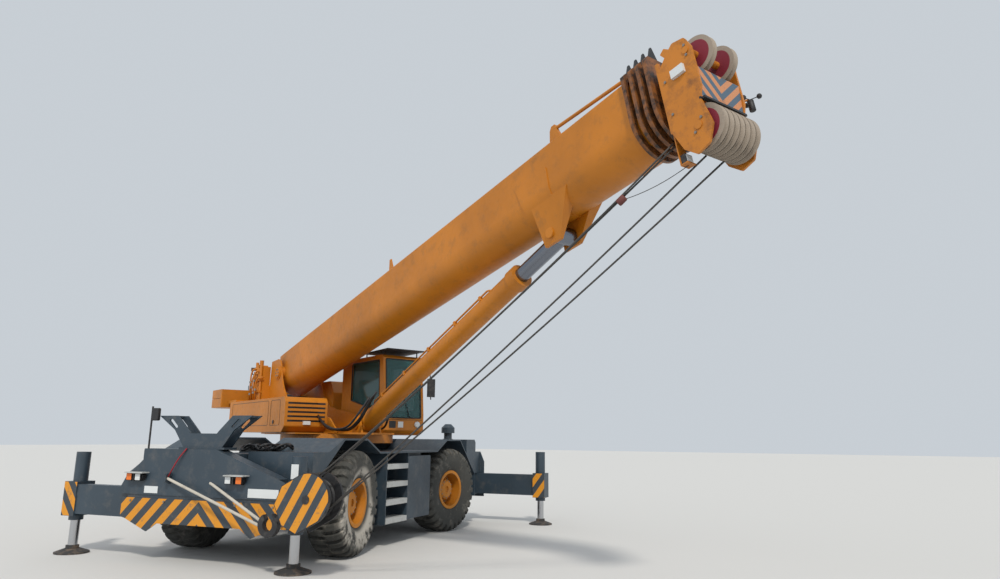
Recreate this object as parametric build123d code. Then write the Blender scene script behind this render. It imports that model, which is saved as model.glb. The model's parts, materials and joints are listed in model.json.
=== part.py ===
from build123d import *
import math
import os

# Rough-terrain mobile crane with a five-section telescopic boom
# Millimetres. X points to the carrier's front, Y to its left, Z up from the ground.

os.makedirs("parts", exist_ok=True)

# Pose at rest, degrees
HEADING = 57.6
ELEVATION = 11.9
STEER_FRONT = 9.2
STEER_REAR = -11.5

# Place of the slewing axis in the row, so that the whole part is centred on the origin
SLEW_X = -603.1
SLEW_Y = -1880.9

# Running clearance between faces of different bodies
GAP = 0.3

# Wheels and axles
AXLE_X = 1868.0
WHEEL_Z = 807.5
WHEEL_Y = 1375.0
KINGPIN_Y = 1020.0
SPINDLE = 70.0
HUB_BORE = SPINDLE + GAP
KINGPIN = 35.0
TYRE_RADIUS = 807.5
TYRE_WIDTH = 600.0
RIM_RADIUS = 332.0
FLANGE_RADIUS = 375.0

# Carrier frame and bodywork
FRAME_HALF = 420.0
FRAME_LOW = 1000.0
FRAME_TOP = 1555.0
PLATE = 20.0
DECK_TOP = 1585.0
DECK_END = 1108.0
FENDER_TOP = 1800.0
FENDER_IN = 450.0
FENDER_OUT = 1600.0
FENDER_FLAT = 330.0
FENDER_PLATE = 30.0
SIDE_HALF = 1580.0
SIDE_BOTTOM = 400.0
SIDE_END = 845.0
FRONT_FACE = 3460.0
REAR_FACE = -3870.0
HOOD_FRONT = -3055.0
HOOD_TOP = 1800.0
LAMP_Y = (-1160.0, 690.0)

# Outriggers
BEAM_LENGTH = 2700.0
BEAM_WIDTH = 170.0
BEAM_LOW = 606.0
BEAM_HIGH = 1050.0
BEAM_WALL = 12.0
BEAM_OFFSET = 95.0
BOX_HALF = 1380.0
BOX_DEPTH = 205.0
FRONT_BOX_X = 3235.0
REAR_BOX_X = -3665.0
JACK_FRONT_X = 3270.0
JACK_REAR_X = -3700.0
JACK_TUBE = 105.0
JACK_ROD = 70.0
FLOAT_RADIUS = 250.0

# Hook block, lying tied ahead of the left front corner, and its slings: start and end of each
BLOCK_CENTRE = (3760.0, 2110.0, 1000.0)
BLOCK_TILT = 28.0
BLOCK_HALF = 170.0
CHEEK_ROUND = 325.0
HOOK_U = -700.0
SLINGS = (((3515, -580, 1200), (3760, 1375, 640)), ((3450, 170, 1150), (3760, 1380, 700)))

# Upper structure, s forward from the slewing axis, measured along the boom's heading
RING_RADIUS = 600.0
RING_TOP = 1660.0
BASE_RADIUS = 1050.0
BASE_TOP = 1890.0
CHEEK_OUT = 450.0
CHEEK_PLATE = 30.0
BRACKET_IN = 165.0
BRACKET_OUT = 230.0
PIVOT_S = -2200.0
PIVOT_Z = 3170.0
PIVOT_PIN = 90.0

# Cab, x forward and z up in its side outline
CAB_IN = 480.0
CAB_OUT = 1340.0
CAB_WALL = 45.0
CAB_FRONT = 930.0
CAB_EDGE = ((-950, 1890), (-950, 3310), (-880, 3380), (CAB_FRONT - 180, 3380), (CAB_FRONT - 110, 3330),
            (CAB_FRONT, 2250), (CAB_FRONT, 1960), (CAB_FRONT - 70, 1890))
DOOR_FROM = -480.0
DOOR_TO = 620.0
DOOR_GAP = 6.0
GLASS = 8.0

# Lift cylinder, its lower pin in the upper structure and its upper pin below the boom
LIFT_S = 1200.0
LIFT_Z = 2070.0
EYE_L = 8720.0
EYE_N = -640.0
LIFT_PIN = 60.0
BARREL_RADIUS = 150.0
BARREL_WALL = 25.0
LIFT_ROD = 105.0
ROD_EYE = 115.0
ROD_OUT = 935.0
PISTON_BACK = 565.0

# Boom sections, L along the boom from its pivot and N square to it
BOOM_HALF = 355.0
BOOM_TOP = 470.0
BOOM_ARC_N = -105.0
BOOM_WALL = 10.0
BOOM_STEP = 40.0
BOOM_START = -150.0
COLLAR_L = 10400.0
COLLAR_PITCH = 110.0
COLLAR_PLATE = 45.0
COLLAR_GROW = 55.0
FIN_TOP = 690.0
LUG_IN = 140.0
HEAD_OUT = 75.0
HEAD_L = COLLAR_L + 3 * COLLAR_PITCH + COLLAR_PLATE + HEAD_OUT
CHEEK_IN = 345.0
UPPER_SHEAVE = (HEAD_L + 395, 240.0)
LOWER_SHEAVE = (HEAD_L + 330, -630.0)


def block(x, y, z):
    """A box from its low and high x, y and z."""
    middle = Pos((x[0] + x[1]) / 2, (y[0] + y[1]) / 2, (z[0] + z[1]) / 2)
    return middle * Box(x[1] - x[0], y[1] - y[0], z[1] - z[0])


def outline(points, radius=0.0):
    """A closed flat face through the points, its corners rounded."""
    face = make_face(Polyline(*points, close=True))
    if radius:
        face = fillet(face.vertices(), radius)
    return face


def side_plate(points, y_from, y_to, radius=0.0):
    """An outline of (x, z) points, extruded across from y_from to y_to."""
    face = outline([(x, y_from, z) for x, z in points], radius)
    return extrude(face, amount=y_to - y_from, dir=(0, 1, 0))


def cross_plate(points, x_from, x_to, radius=0.0):
    """An outline of (y, z) points, extruded along from x_from to x_to."""
    face = outline([(x_from, y, z) for y, z in points], radius)
    return extrude(face, amount=x_to - x_from, dir=(1, 0, 0))


def floor_plate(points, z_from, z_to, radius=0.0):
    """An outline of (x, y) points, extruded up from z_from to z_to."""
    face = outline([(x, y, z_from) for x, y in points], radius)
    return extrude(face, amount=z_to - z_from, dir=(0, 0, 1))


def shaft(start, end, radius):
    """A round bar from one point to another."""
    way = Vector(*end) - Vector(*start)
    place = Plane(origin=start, z_dir=way)
    return place * Cylinder(radius, way.length, align=(Align.CENTER, Align.CENTER, Align.MIN))


def pipe(start, end, radius, bore):
    """A round tube from one point to another."""
    return shaft(start, end, radius) - shaft(start, end, bore)


def turned(profile):
    """An outline of (radius, place) points turned about the Y axis."""
    face = make_face(Polyline(*[(r, a, 0) for r, a in profile], close=True))
    return revolve(face, Axis.Y)


def mirrored(shape):
    """The shape and its twin on the other side of the middle plane."""
    return shape + mirror(shape, Plane.XZ)


def sheave(radius, bore, width):
    """One grooved wheel about the Y axis."""
    deep = radius * 0.86
    half = width / 2
    return turned([(bore, -half), (radius, -half), (radius, -half + 6), (deep, -4), (deep, 4),
                   (radius, half - 6), (radius, half), (bore, half)])


def save(name, shape, place):
    """Put a finished piece in its place and write it under its own name."""
    export_step(place * shape, f"parts/{name}.step")


CARRIER = Pos(SLEW_X, SLEW_Y, 0)
UPPER = CARRIER * Rot(0, 0, HEADING)
BOOM = UPPER * Pos(PIVOT_S, 0, PIVOT_Z) * Rot(0, -ELEVATION, 0)


# Wheels, each about its own centre with its outer side to +Y
def tyre():
    half = TYRE_WIDTH / 2
    side = [(RIM_RADIUS, 222), (378, 226), (410, 257), (560, half), (700, 290), (775, 255),
            (TYRE_RADIUS, 205)]
    return turned(side + [(r, -a) for r, a in reversed(side)])


def rim():
    barrel = turned([
        (RIM_RADIUS - 14, -240), (FLANGE_RADIUS, -240), (FLANGE_RADIUS, -228), (RIM_RADIUS, -224),
        (RIM_RADIUS, 224), (FLANGE_RADIUS, 228), (FLANGE_RADIUS, 240), (RIM_RADIUS - 14, 240),
    ])
    disc = turned([
        (120, -10), (290, -30), (RIM_RADIUS - 10, -30), (RIM_RADIUS - 10, -10), (292, -10),
        (210, 25), (190, 130), (150, 150), (60, 150), (60, 120), (120, 100),
    ])
    hub = turned([(HUB_BORE, -100), (150, -100), (150, -5), (120, 101), (60, 122), (0, 122), (0, 20),
                  (HUB_BORE, 20)])
    return barrel + disc + hub


# Knuckle about its kingpin, with the spindle to +Y
def knuckle():
    barrel = shaft((0, 0, -115), (0, 0, 115), 85)
    barrel -= shaft((0, 0, 80), (0, 0, 120), KINGPIN)
    barrel -= shaft((0, 0, -120), (0, 0, -80), KINGPIN)
    neck = shaft((0, 40, 0), (0, 120, 0), 100)
    flange = shaft((0, 105, 0), (0, 135, 0), 160)
    spindle = shaft((0, 120, 0), (0, WHEEL_Y - KINGPIN_Y + 10, 0), SPINDLE)
    arm = floor_plate([(-40, 20), (-60, -30), (-260, -120), (-285, -60), (-90, 60)], -60, -25)
    return barrel + neck + flange + spindle + arm


# Axle about the middle of its beam
def axle():
    beam = block((-130, 130), (-860, 860), (-120, 120))
    beam += shaft((-230, 0, 0), (230, 0, 0), 235)
    for side in (-1, 1):
        end = side * KINGPIN_Y
        beam += block((-110, 110), sorted((side * 780, side * 880)), (-165, 165))
        for low, high in ((115 + GAP, 165), (-165, -115 - GAP)):
            beam += block((-85, 85), sorted((side * 870, end)), (low, high))
            beam += shaft((0, end, low), (0, end, high), 85)
        beam += shaft((0, end, 90), (0, end, 150), KINGPIN - GAP)
        beam += shaft((0, end, -150), (0, end, -90), KINGPIN - GAP)
        beam += block((-120, 120), sorted((side * 300, side * FRAME_HALF)), (110, FRAME_LOW - WHEEL_Z))
    return beam


# Wheel stations: name, end of the carrier, side
STATIONS = (("fl", 1, 1), ("fr", 1, -1), ("rl", -1, 1), ("rr", -1, -1))

for name, end, side in STATIONS:
    steer = STEER_FRONT if end > 0 else STEER_REAR
    turn = 0 if side > 0 else 180
    station = CARRIER * Pos(end * AXLE_X, side * KINGPIN_Y, WHEEL_Z) * Rot(0, 0, steer + turn)
    save(f"knuckle_{name}", knuckle(), station)
    wheel = station * Pos(0, WHEEL_Y - KINGPIN_Y, 0)
    save(f"tyre_{name}", tyre(), wheel)
    save(f"rim_{name}", rim(), wheel)

save("axles", Pos(AXLE_X, 0, 0) * axle() + Pos(-AXLE_X, 0, 0) * axle(), CARRIER * Pos(0, 0, WHEEL_Z))


# Carrier frame: two deep side plates arched over the axles, closed by top, bottom and bulkheads
def chassis_frame():
    rear = REAR_BOX_X + BOX_DEPTH
    front = FRONT_BOX_X - BOX_DEPTH
    arch = 690.0
    low = 630.0
    edge = [(rear, low), (-AXLE_X - arch - 280, low), (-AXLE_X - arch, FRAME_LOW)]
    edge += [(-AXLE_X + arch, FRAME_LOW), (-900, low), (900, low), (AXLE_X - arch, FRAME_LOW)]
    edge += [(AXLE_X + arch, FRAME_LOW), (AXLE_X + arch + 280, low), (front, low)]
    edge += [(front, FRAME_TOP), (rear, FRAME_TOP)]
    body = mirrored(side_plate(edge, FRAME_HALF - PLATE, FRAME_HALF))
    top = block((rear, front), (-FRAME_HALF, FRAME_HALF), (FRAME_TOP - PLATE, FRAME_TOP))
    body += top - shaft((0, 0, 1500), (0, 0, 1600), 380)
    for place in (rear + 10, -1010, 1010, front - 10):
        low_end = low if abs(place) > 2500 else FRAME_LOW - 10
        body += block((place - 10, place + 10), (-FRAME_HALF, FRAME_HALF), (low_end, FRAME_TOP))
    body += block((-900, 900), (-FRAME_HALF, FRAME_HALF), (low, low + PLATE))
    return body


# Transverse outrigger box, open at both ends for its two beams
def outrigger_box():
    outer = block((-BOX_DEPTH, BOX_DEPTH), (-BOX_HALF, BOX_HALF), (BEAM_LOW - BEAM_WALL, BEAM_HIGH + 17))
    inner = block((-BOX_DEPTH + 12, BOX_DEPTH - 12), (-2000, 2000), (BEAM_LOW - GAP, BEAM_HIGH + 5))
    return outer - inner


def deck():
    plate = block((-DECK_END, DECK_END), (-FENDER_OUT, FENDER_OUT), (FRAME_TOP, DECK_TOP))
    return plate - shaft((0, 0, 1500), (0, 0, 1700), RING_RADIUS + 45)


# Mudguards over both wheels of one axle, with the closed wing ahead of the front arch
def fenders(end):
    lip = FENDER_PLATE
    far = FRONT_BOX_X - BOX_DEPTH - 5
    edge = [
        (DECK_END, FRAME_TOP), (DECK_END, DECK_TOP), (AXLE_X - FENDER_FLAT, FENDER_TOP),
        (AXLE_X + 350, FENDER_TOP), (2630, 1595), (far, 1595), (far, 1075),
        (AXLE_X + 340, FENDER_TOP - lip), (AXLE_X - FENDER_FLAT + 8, FENDER_TOP - lip),
    ]
    if end < 0:
        edge[4:7] = [(3050, 1050), (3050, 610), (3020, 610), (3020, 1058)]
    guard = mirrored(side_plate(edge, FENDER_IN, FENDER_OUT))
    return guard if end > 0 else mirror(guard, Plane.YZ)


# Front body: a wide face plate with a sloping left shoulder, over the outrigger box
def front_body():
    top = 1620.0
    low = BEAM_HIGH + 17
    face = [(-1520, 950), (-1520, 1070), (-1410, 1250), (-1210, 1390), (-1130, 1460), (-1130, top),
            (240, top), (1640, 1130), (1640, 950)]
    body = cross_plate(face, FRONT_FACE - 15, FRONT_FACE)
    wing = [(-1350, low), (-1350, 1292), (-1210, 1390), (-1130, 1460), (-1130, top),
            (240, top), (1350, 1231), (1350, low)]
    body += cross_plate(wing, FRONT_FACE - 220, FRONT_FACE - 15)
    body += block((FRONT_FACE - 430, FRONT_FACE - 210), (-1120, 420), (low, FRAME_TOP))
    return body


# Bumper band with drooping corners
def bumper():
    half = [(1480, 900), (1480, 620), (1390, 600), (950, 430), (760, 550)]
    band = half + [(-y, z) for y, z in reversed(half)]
    return cross_plate(band, FRONT_FACE - 20, FRONT_FACE)


# Boom rest: a low base with two splayed arms, each of two slotted plates
def boom_rest():
    rest = block((FRONT_FACE - 300, FRONT_FACE - 40), (-510, 340), (1620, 1650))
    arm = [(-440, 1640), (-130, 1640), (-250, 1760), (-350, 1870), (-350, 1872), (-600, 2110),
           (-960, 2110), (-930, 2090), (-640, 1900)]
    slot = [(-640, 1930), (-560, 1930), (-700, 2060), (-780, 2060)]
    cut = cross_plate(slot, FRONT_FACE - 360, FRONT_FACE + 40, 18)
    for x in (FRONT_FACE - 280, FRONT_FACE - 85):
        left = cross_plate(arm, x, x + 25) - cut
        rest += left
        rest += mirror(left, Plane(origin=(0, -85, 0), z_dir=(0, 1, 0)))
        rest += cross_plate([(-400, 1640), (230, 1640), (150, 1850), (-320, 1850)], x, x + 25)
    for y in (-780, 610):
        rest += block((FRONT_FACE - 280, FRONT_FACE - 60), (y - 110, y + 110), (2085, 2110))
    return rest


# Rear body: a wide hollow hood behind the wheels, a tunnel over the engine and an end plate
def rear_body():
    edge = [(-3580, 1067), (-3580, 1740), (-3520, HOOD_TOP), (HOOD_FRONT, HOOD_TOP), (HOOD_FRONT, 1067)]
    hood = side_plate(edge, -1380, 1380)
    hood -= block((-3560, HOOD_FRONT - 20), (-1360, 1360), (1000, HOOD_TOP - 20))
    hood -= block((-3500, -3000), (-FRAME_HALF - 2, FRAME_HALF + 2), (1000, FRAME_TOP))
    tunnel = block((HOOD_FRONT - 10, -1300), (-430, 430), (FRAME_TOP, HOOD_TOP))
    tunnel -= block((HOOD_FRONT - 30, -1330), (-400, 400), (FRAME_TOP - 10, HOOD_TOP - 30))
    face = [(-1480, 530), (-1480, 1300), (-1380, 1530), (1380, 1530), (1480, 1300), (1480, 530)]
    plate = cross_plate(face, REAR_FACE - 20, REAR_FACE)
    plate -= cross_plate([(-1300, 1180), (-1220, 1430), (1220, 1430), (1300, 1180)],
                         REAR_FACE - 30, REAR_FACE + 10)
    shelf = block((REAR_FACE, -3575), (-1380, 1380), (1500, 1530))
    posts = mirrored(block((REAR_FACE, -3575), (1340, 1375), (1067, 1510)))
    return hood + tunnel + plate + shelf + posts


# Air intake: a mushroom cap on a stack
def intake():
    stack = shaft((-3200, 850, HOOD_TOP), (-3200, 850, 1960), 90)
    cap = Pos(-3200, 850, 1940) * extrude(Circle(150), 120)
    crown = Pos(-3200, 850, 2060) * Cone(150, 70, 80, align=(Align.CENTER, Align.CENTER, Align.MIN))
    return stack + cap + crown


# Side cabinet and ladder between the wheels; the ladder's treads hang between two rails
def side_cabinet(side):
    low, high = 950, SIDE_HALF
    body = side_plate([(-840, SIDE_BOTTOM), (50, SIDE_BOTTOM), (50, 1500), (-840, 1500)], low, high, 30)
    body += block((-800, 0), (low + 100, high - 200), (1495, FRAME_TOP))
    return body if side > 0 else mirror(body, Plane.XZ)


def ladder(side):
    body = block((55, SIDE_END), (1150, 1180), (SIDE_BOTTOM - 30, FRAME_TOP))
    for x in (55, SIDE_END - 20):
        body += block((x, x + 20), (1150, SIDE_HALF), (SIDE_BOTTOM - 30, FRAME_TOP))
    for step in range(4):
        z = 470 + 300 * step
        body += block((60, SIDE_END - 5), (1300, SIDE_HALF), (z - 35, z))
    return body if side > 0 else mirror(body, Plane.XZ)


# Fixed half of the slewing ring
def slew_ring():
    ring = shaft((0, 0, FRAME_TOP), (0, 0, RING_TOP - GAP), RING_RADIUS)
    ring += shaft((0, 0, FRAME_TOP), (0, 0, 1600), RING_RADIUS + 40)
    return ring - shaft((0, 0, 1500), (0, 0, 1700), 420)


# Mirror on its pole, on the right end of the front body
def mirror_pole():
    x = FRONT_FACE - 22
    pole = shaft((x, -1080, 1620), (x, -1080, 2250), 14)
    head = Pos(x, -1000, 2130) * Box(66, 130, 190)
    arm = shaft((x, -1080, 2130), (x, -1010, 2130), 10)
    return pole + fillet(head.edges(), 20) + arm


# Front lamps, each a round pair under a thin shelf; the table gives the shelf's middle in y
def front_lamps():
    group = Part()
    for y in LAMP_Y:
        shelf = block((FRONT_FACE, FRONT_FACE + 140), (y - 170, y + 170), (1262, 1274))
        box = block((FRONT_FACE, FRONT_FACE + 80), (y - 160, y - 40), (1150, 1262))
        lens = shaft((FRONT_FACE, y + 70, 1205), (FRONT_FACE + 70, y + 70, 1205), 52)
        group += shelf + box + lens
    return group


# Tow eye on the front face
def tow_eye():
    end = FRONT_FACE + 100
    hole = FRONT_FACE + 55
    plate = side_plate([(FRONT_FACE, 1120), (end, 1150), (end, 1250), (FRONT_FACE, 1280)], -600, -560)
    return plate - shaft((hole, -700, 1200), (hole, -500, 1200), 25)


# Hook block, lying tied ahead of the left front corner; X points from its hook to its crown
def block_plane():
    lean = math.radians(BLOCK_TILT)
    return Plane(origin=BLOCK_CENTRE, x_dir=(0, math.cos(lean), math.sin(lean)),
                 z_dir=(0, -math.sin(lean), math.cos(lean)))


def cheek_face(y):
    crown = ThreePointArc((85, y, CHEEK_ROUND), (85 + CHEEK_ROUND, y, 0), (85, y, -CHEEK_ROUND))
    foot = Polyline((85, y, -CHEEK_ROUND), (-250, y, -CHEEK_ROUND), (-410, y, -120), (-410, y, 160),
                    (-200, y, CHEEK_ROUND), (85, y, CHEEK_ROUND))
    return make_face([crown, foot])


def hook_block():
    body = Part()
    for low in (-BLOCK_HALF, BLOCK_HALF - 40):
        body += extrude(cheek_face(low), amount=40, dir=(0, 1, 0))
    body += shaft((60, -BLOCK_HALF - 15, 0), (60, BLOCK_HALF + 15, 0), 55)
    for place in range(3):
        y = -82 + 82 * place
        body += Pos(60, y, 0) * sheave(255, 50, 64)
    body += block((-400, -330), (-BLOCK_HALF, BLOCK_HALF), (-70, 70))
    body += shaft((-560, 0, 0), (-390, 0, 0), 48)
    ring = Pos(HOOK_U, 0, 0) * (shaft((0, -42, 0), (0, 42, 0), 155) - shaft((0, -60, 0), (0, 60, 0), 78))
    ring -= block((HOOK_U - 10, HOOK_U + 115), (-60, 60), (30, 200))
    return body + ring


# Two slings from the front body to the hook: start and end of each
def slings():
    group = Part()
    for start, end in SLINGS:
        group += shaft(start, end, 20)
    return group - block_plane() * hook_block() - front_body() - tow_eye()


save("chassis_frame", chassis_frame(), CARRIER)
save("hook_block", block_plane() * hook_block(), CARRIER)
save("slings", slings(), CARRIER)
boxes = Pos(FRONT_BOX_X, 0, 0) * outrigger_box() + Pos(REAR_BOX_X, 0, 0) * outrigger_box()
save("outrigger_boxes", boxes, CARRIER)
save("deck_and_fenders", deck() + fenders(1) + fenders(-1), CARRIER)
save("front_body", front_body() + tow_eye(), CARRIER)
save("bumper", bumper(), CARRIER)
save("boom_rest", boom_rest(), CARRIER)
save("rear_body", rear_body(), CARRIER)
save("air_intake", intake(), CARRIER)
save("side_cabinets", side_cabinet(1) + side_cabinet(-1), CARRIER)
save("ladders", ladder(1) + ladder(-1), CARRIER)
save("slew_ring", slew_ring(), CARRIER)
save("mirror_pole", mirror_pole(), CARRIER)
save("front_lamps", front_lamps(), CARRIER)


# Engine: one block for its mass, under the hood
save("engine", block((-2990, -1400), (PLATE - FRAME_HALF, FRAME_HALF - PLATE), (1060, 1530)), CARRIER)


# Outrigger beam about its jack, reaching back to -Y when it belongs to the left side
def beam(shift):
    start = -JACK_TUBE - 20
    low, high = shift - BEAM_WIDTH / 2, shift + BEAM_WIDTH / 2
    outer = block((low, high), (start - BEAM_LENGTH, start), (BEAM_LOW, BEAM_HIGH))
    inner = block((low + BEAM_WALL, high - BEAM_WALL), (start - BEAM_LENGTH - 1, start + 1),
                  (BEAM_LOW + BEAM_WALL, BEAM_HIGH - BEAM_WALL))
    body = outer - inner
    body += block((-160, 160), (start - 5, 140), (570, 1090))
    body += shaft((0, 0, 500), (0, 0, 1545), JACK_TUBE)
    return body - shaft((0, 0, 400), (0, 0, 1500), JACK_ROD + GAP)


# Jack rod with its round float
def jack():
    rod = shaft((0, 0, 90), (0, 0, 1120), JACK_ROD)
    ball = Pos(0, 0, 60) * Cylinder(95, 60, align=(Align.CENTER, Align.CENTER, Align.MIN))
    dish = turned([(0, 0), (FLOAT_RADIUS, 0), (FLOAT_RADIUS, 22), (120, 70), (0, 70)])
    return rod + ball + Rot(90, 0, 0) * dish


# Outriggers: name, jack's x, box's x, side, jack's y, the beam's slot in the box
OUTRIGGERS = (
    ("fl", JACK_FRONT_X, FRONT_BOX_X, 1, 1560.0, -1),
    ("fr", JACK_FRONT_X, FRONT_BOX_X, -1, -2610.0, 1),
    ("rl", JACK_REAR_X, REAR_BOX_X, 1, 2900.0, -1),
    ("rr", JACK_REAR_X, REAR_BOX_X, -1, -2610.0, 1),
)

for name, jack_x, box_x, side, jack_y, slot in OUTRIGGERS:
    turn = 0 if side > 0 else 180
    station = CARRIER * Pos(jack_x, jack_y, 0) * Rot(0, 0, turn)
    shift = (box_x + slot * BEAM_OFFSET - jack_x) * side
    save(f"beam_{name}", beam(shift), station)
    save(f"jack_{name}", jack(), station)


# Turntable: round base, floor plate, two tall cheeks, and the lift cylinder's foot bracket between them
def turntable():
    base = shaft((0, 0, RING_TOP), (0, 0, RING_TOP + 90), RING_RADIUS)
    base += shaft((0, 0, RING_TOP + 60), (0, 0, BASE_TOP - 20), BASE_RADIUS)
    base += block((-2700, LIFT_S + 220), (-CHEEK_OUT, CHEEK_OUT), (BASE_TOP - 20, BASE_TOP + 10))
    base += block((-950, 800), (-1150, 1340), (BASE_TOP - 20, BASE_TOP))
    front = Polyline((900, 0, BASE_TOP - 20), (900, 0, 1960), (600, 0, 2160), (-900, 0, 2380))
    curve = ThreePointArc((-900, 0, 2380), (-1700, 0, 2680), (-2080, 0, 3330))
    back = Polyline((-2080, 0, 3330), (-2150, 0, 3430), (-2260, 0, 3470), (-2660, 0, 3440), (-2700, 0, 2920),
                    (-3300, 0, 2880), (-3300, 0, 2450), (-2800, 0, BASE_TOP - 20), (900, 0, BASE_TOP - 20))
    plate = extrude(make_face([front, curve, back]), amount=CHEEK_PLATE, dir=(0, 1, 0))
    body = base + mirrored(Pos(0, CHEEK_OUT - CHEEK_PLATE, 0) * plate)
    body += block((-3300, -3270), (-CHEEK_OUT, CHEEK_OUT), (2450, 2880))
    body += block((-2830, -2800), (-CHEEK_OUT, CHEEK_OUT), (BASE_TOP, 2250))
    body += mirrored(foot_bracket())
    for side in (-1, 1):
        body += shaft((PIVOT_S, side * (CHEEK_OUT - 40), PIVOT_Z), (PIVOT_S, side * (CHEEK_OUT + 15), PIVOT_Z),
                      150)
    body -= shaft((PIVOT_S, -600, PIVOT_Z), (PIVOT_S, 600, PIVOT_Z), PIVOT_PIN + GAP)
    return body - shaft((LIFT_S, -600, LIFT_Z), (LIFT_S, 600, LIFT_Z), LIFT_PIN)


def foot_bracket():
    edge = [(LIFT_S - 700, BASE_TOP), (LIFT_S - 120, LIFT_Z + 80), (LIFT_S - 60, LIFT_Z + 125),
            (LIFT_S + 60, LIFT_Z + 125), (LIFT_S + 120, LIFT_Z + 80), (LIFT_S + 220, BASE_TOP)]
    plate = side_plate(edge, BRACKET_IN, BRACKET_IN + 30)
    return plate + shaft((LIFT_S, BRACKET_IN - 12, LIFT_Z), (LIFT_S, BRACKET_OUT, LIFT_Z), 110)


# Pins at the boom's foot and at the lift cylinder's foot, each with a keeper outside both bosses
def foot_pin(radius, boss_end):
    pin = shaft((0, -boss_end - 20, 0), (0, boss_end + 20, 0), radius)
    for side in (-1, 1):
        pin += shaft((0, side * (boss_end + GAP), 0), (0, side * (boss_end + 20), 0), radius + 25)
    return pin


def counterweight():
    edge = [(-4120, -1150), (-4000, -1300), (-3300, -1300), (-3300, 1300), (-4000, 1300), (-4120, 1150)]
    body = floor_plate(edge, 2440, 2830, 20)
    return body - floor_plate([(x - 40, y * 1.1) for x, y in edge], 2632, 2640) + block(
        (-4000, -3320), (-1200, 1200), (2600, 2700))


# Right housing with its chamfered front foot
def right_housing():
    edge = [(-2750, 1900), (380, 1900), (500, 2000), (500, 2440), (430, 2520), (-2750, 2520)]
    body = side_plate(edge, -1250, -CHEEK_OUT, 45)
    for slot in range(5):
        z = 2080 + 78 * slot
        body -= block((470, 520), (-1130, -560), (z, z + 34))
    return body


# Tank and covers behind the cab
def left_tank():
    edge = [(-2900, 1900), (-1300, 1900), (-1300, 2740), (-1480, 3000), (-2900, 3000)]
    body = side_plate(edge, CHEEK_OUT, 1200, 70)
    return body + shaft((-2300, 820, 3000), (-2300, 820, 3050), 90)


# Hoist winch between the cheeks, behind the boom's foot
def winch():
    drum = turned([(0, -300), (190, -300), (190, -280), (140, -280), (140, 280), (190, 280), (190, 300),
                   (0, 300)])
    stand = mirrored(block((-160, 160), (330, 420), (-150, 100)))
    shaft_bar = shaft((0, -420, 0), (0, 420, 0), 60)
    return drum + stand + shaft_bar


# Valve and pipe stack behind the boom's foot
def valve_stack():
    body = block((-3250, -2700), (-1150, -CHEEK_OUT), (2520, 2580))
    body += block((-3180, -2710), (-CHEEK_OUT - 160, -CHEEK_OUT), (2580, 3330))
    for place, top in enumerate((3240, 3440, 3380, 3300, 3400)):
        x = -3150 + 95 * place
        body += shaft((x, -CHEEK_OUT - 190, 2570), (x, -CHEEK_OUT - 190, top), 32)
        body += shaft((x, -CHEEK_OUT - 200, top - 60), (x, -CHEEK_OUT - 50, top - 60), 22)
    for z in (2760, 3010):
        body += block((-3200, -2730), (-CHEEK_OUT - 235, -CHEEK_OUT - 150), (z, z + 40))
    body += shaft((-3100, -CHEEK_OUT - 80, 3300), (-3100, -CHEEK_OUT - 80, 3500), 45)
    return body + shaft((-3700, -CHEEK_OUT - 90, 3330), (-3080, -CHEEK_OUT - 90, 3290), 18)


# Operator's cab: outer shell less its room, less the window openings
def cab_solid(inset):
    edge = outline([(x, 0, z) for x, z in CAB_EDGE])
    if inset:
        edge = offset(edge, -inset)
    return extrude(edge, amount=CAB_OUT - CAB_IN - 2 * inset, dir=(0, 1, 0))


# Window openings, wider than the wall is thick; a pane fills the same outline
def side_window():
    edge = [(-500, 2550), (CAB_FRONT - 190, 2300), (CAB_FRONT - 250, 3290), (-500, 3290)]
    return side_plate(edge, CAB_IN - 10, CAB_IN + 60, 30)


def windscreen():
    edge = [(CAB_IN + 50, 2180), (CAB_OUT - 50, 2180), (CAB_OUT - 50, 3310), (CAB_IN + 50, 3310)]
    return cross_plate(edge, CAB_FRONT - 170, CAB_FRONT + 100, 30)


def rear_window():
    edge = [(600, 2500), (1220, 2500), (1220, 3200), (600, 3200)]
    return cross_plate(edge, -1000, -850, 30)


def door_window():
    edge = [(DOOR_FROM + 60, 2350), (DOOR_TO - 60, 2350), (DOOR_TO - 90, 3220), (DOOR_FROM + 60, 3220)]
    return side_plate(edge, CAB_OUT - 20, CAB_OUT + 90, 30)


def cab_shell():
    outer = Pos(0, CAB_IN, 0) * cab_solid(0)
    outer = fillet(outer.edges().filter_by(Axis.Y), CAB_WALL - 5)
    room = Pos(0, CAB_IN + CAB_WALL, 0) * cab_solid(CAB_WALL)
    doorway = side_plate([(DOOR_FROM, 1990), (DOOR_TO, 1990), (DOOR_TO, 3280), (DOOR_FROM, 3280)],
                         CAB_OUT - CAB_WALL - 1, CAB_OUT + 1)
    body = outer - room - side_window() - windscreen() - rear_window() - doorway
    body += block((-940, DOOR_TO + 20), (CAB_OUT - 5, CAB_OUT + 52), (3330, 3342))
    return body + block((-940, DOOR_TO + 20), (CAB_OUT - 5, CAB_OUT + 60), (1925, 1937))


# Sliding cab door, hung just outside its opening between two rails
def cab_door():
    low, high = 1937 + GAP, 3330 - GAP
    edge = [(DOOR_FROM - 30, low), (DOOR_TO + 15, low), (DOOR_TO + 15, high), (DOOR_FROM - 30, high)]
    leaf = side_plate(edge, CAB_OUT + DOOR_GAP, CAB_OUT + DOOR_GAP + 40) - door_window()
    handle = block((DOOR_TO - 40, DOOR_TO - 10), (CAB_OUT + DOOR_GAP + 35, CAB_OUT + DOOR_GAP + 60),
                   (2150, 2300))
    return leaf + handle


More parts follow.
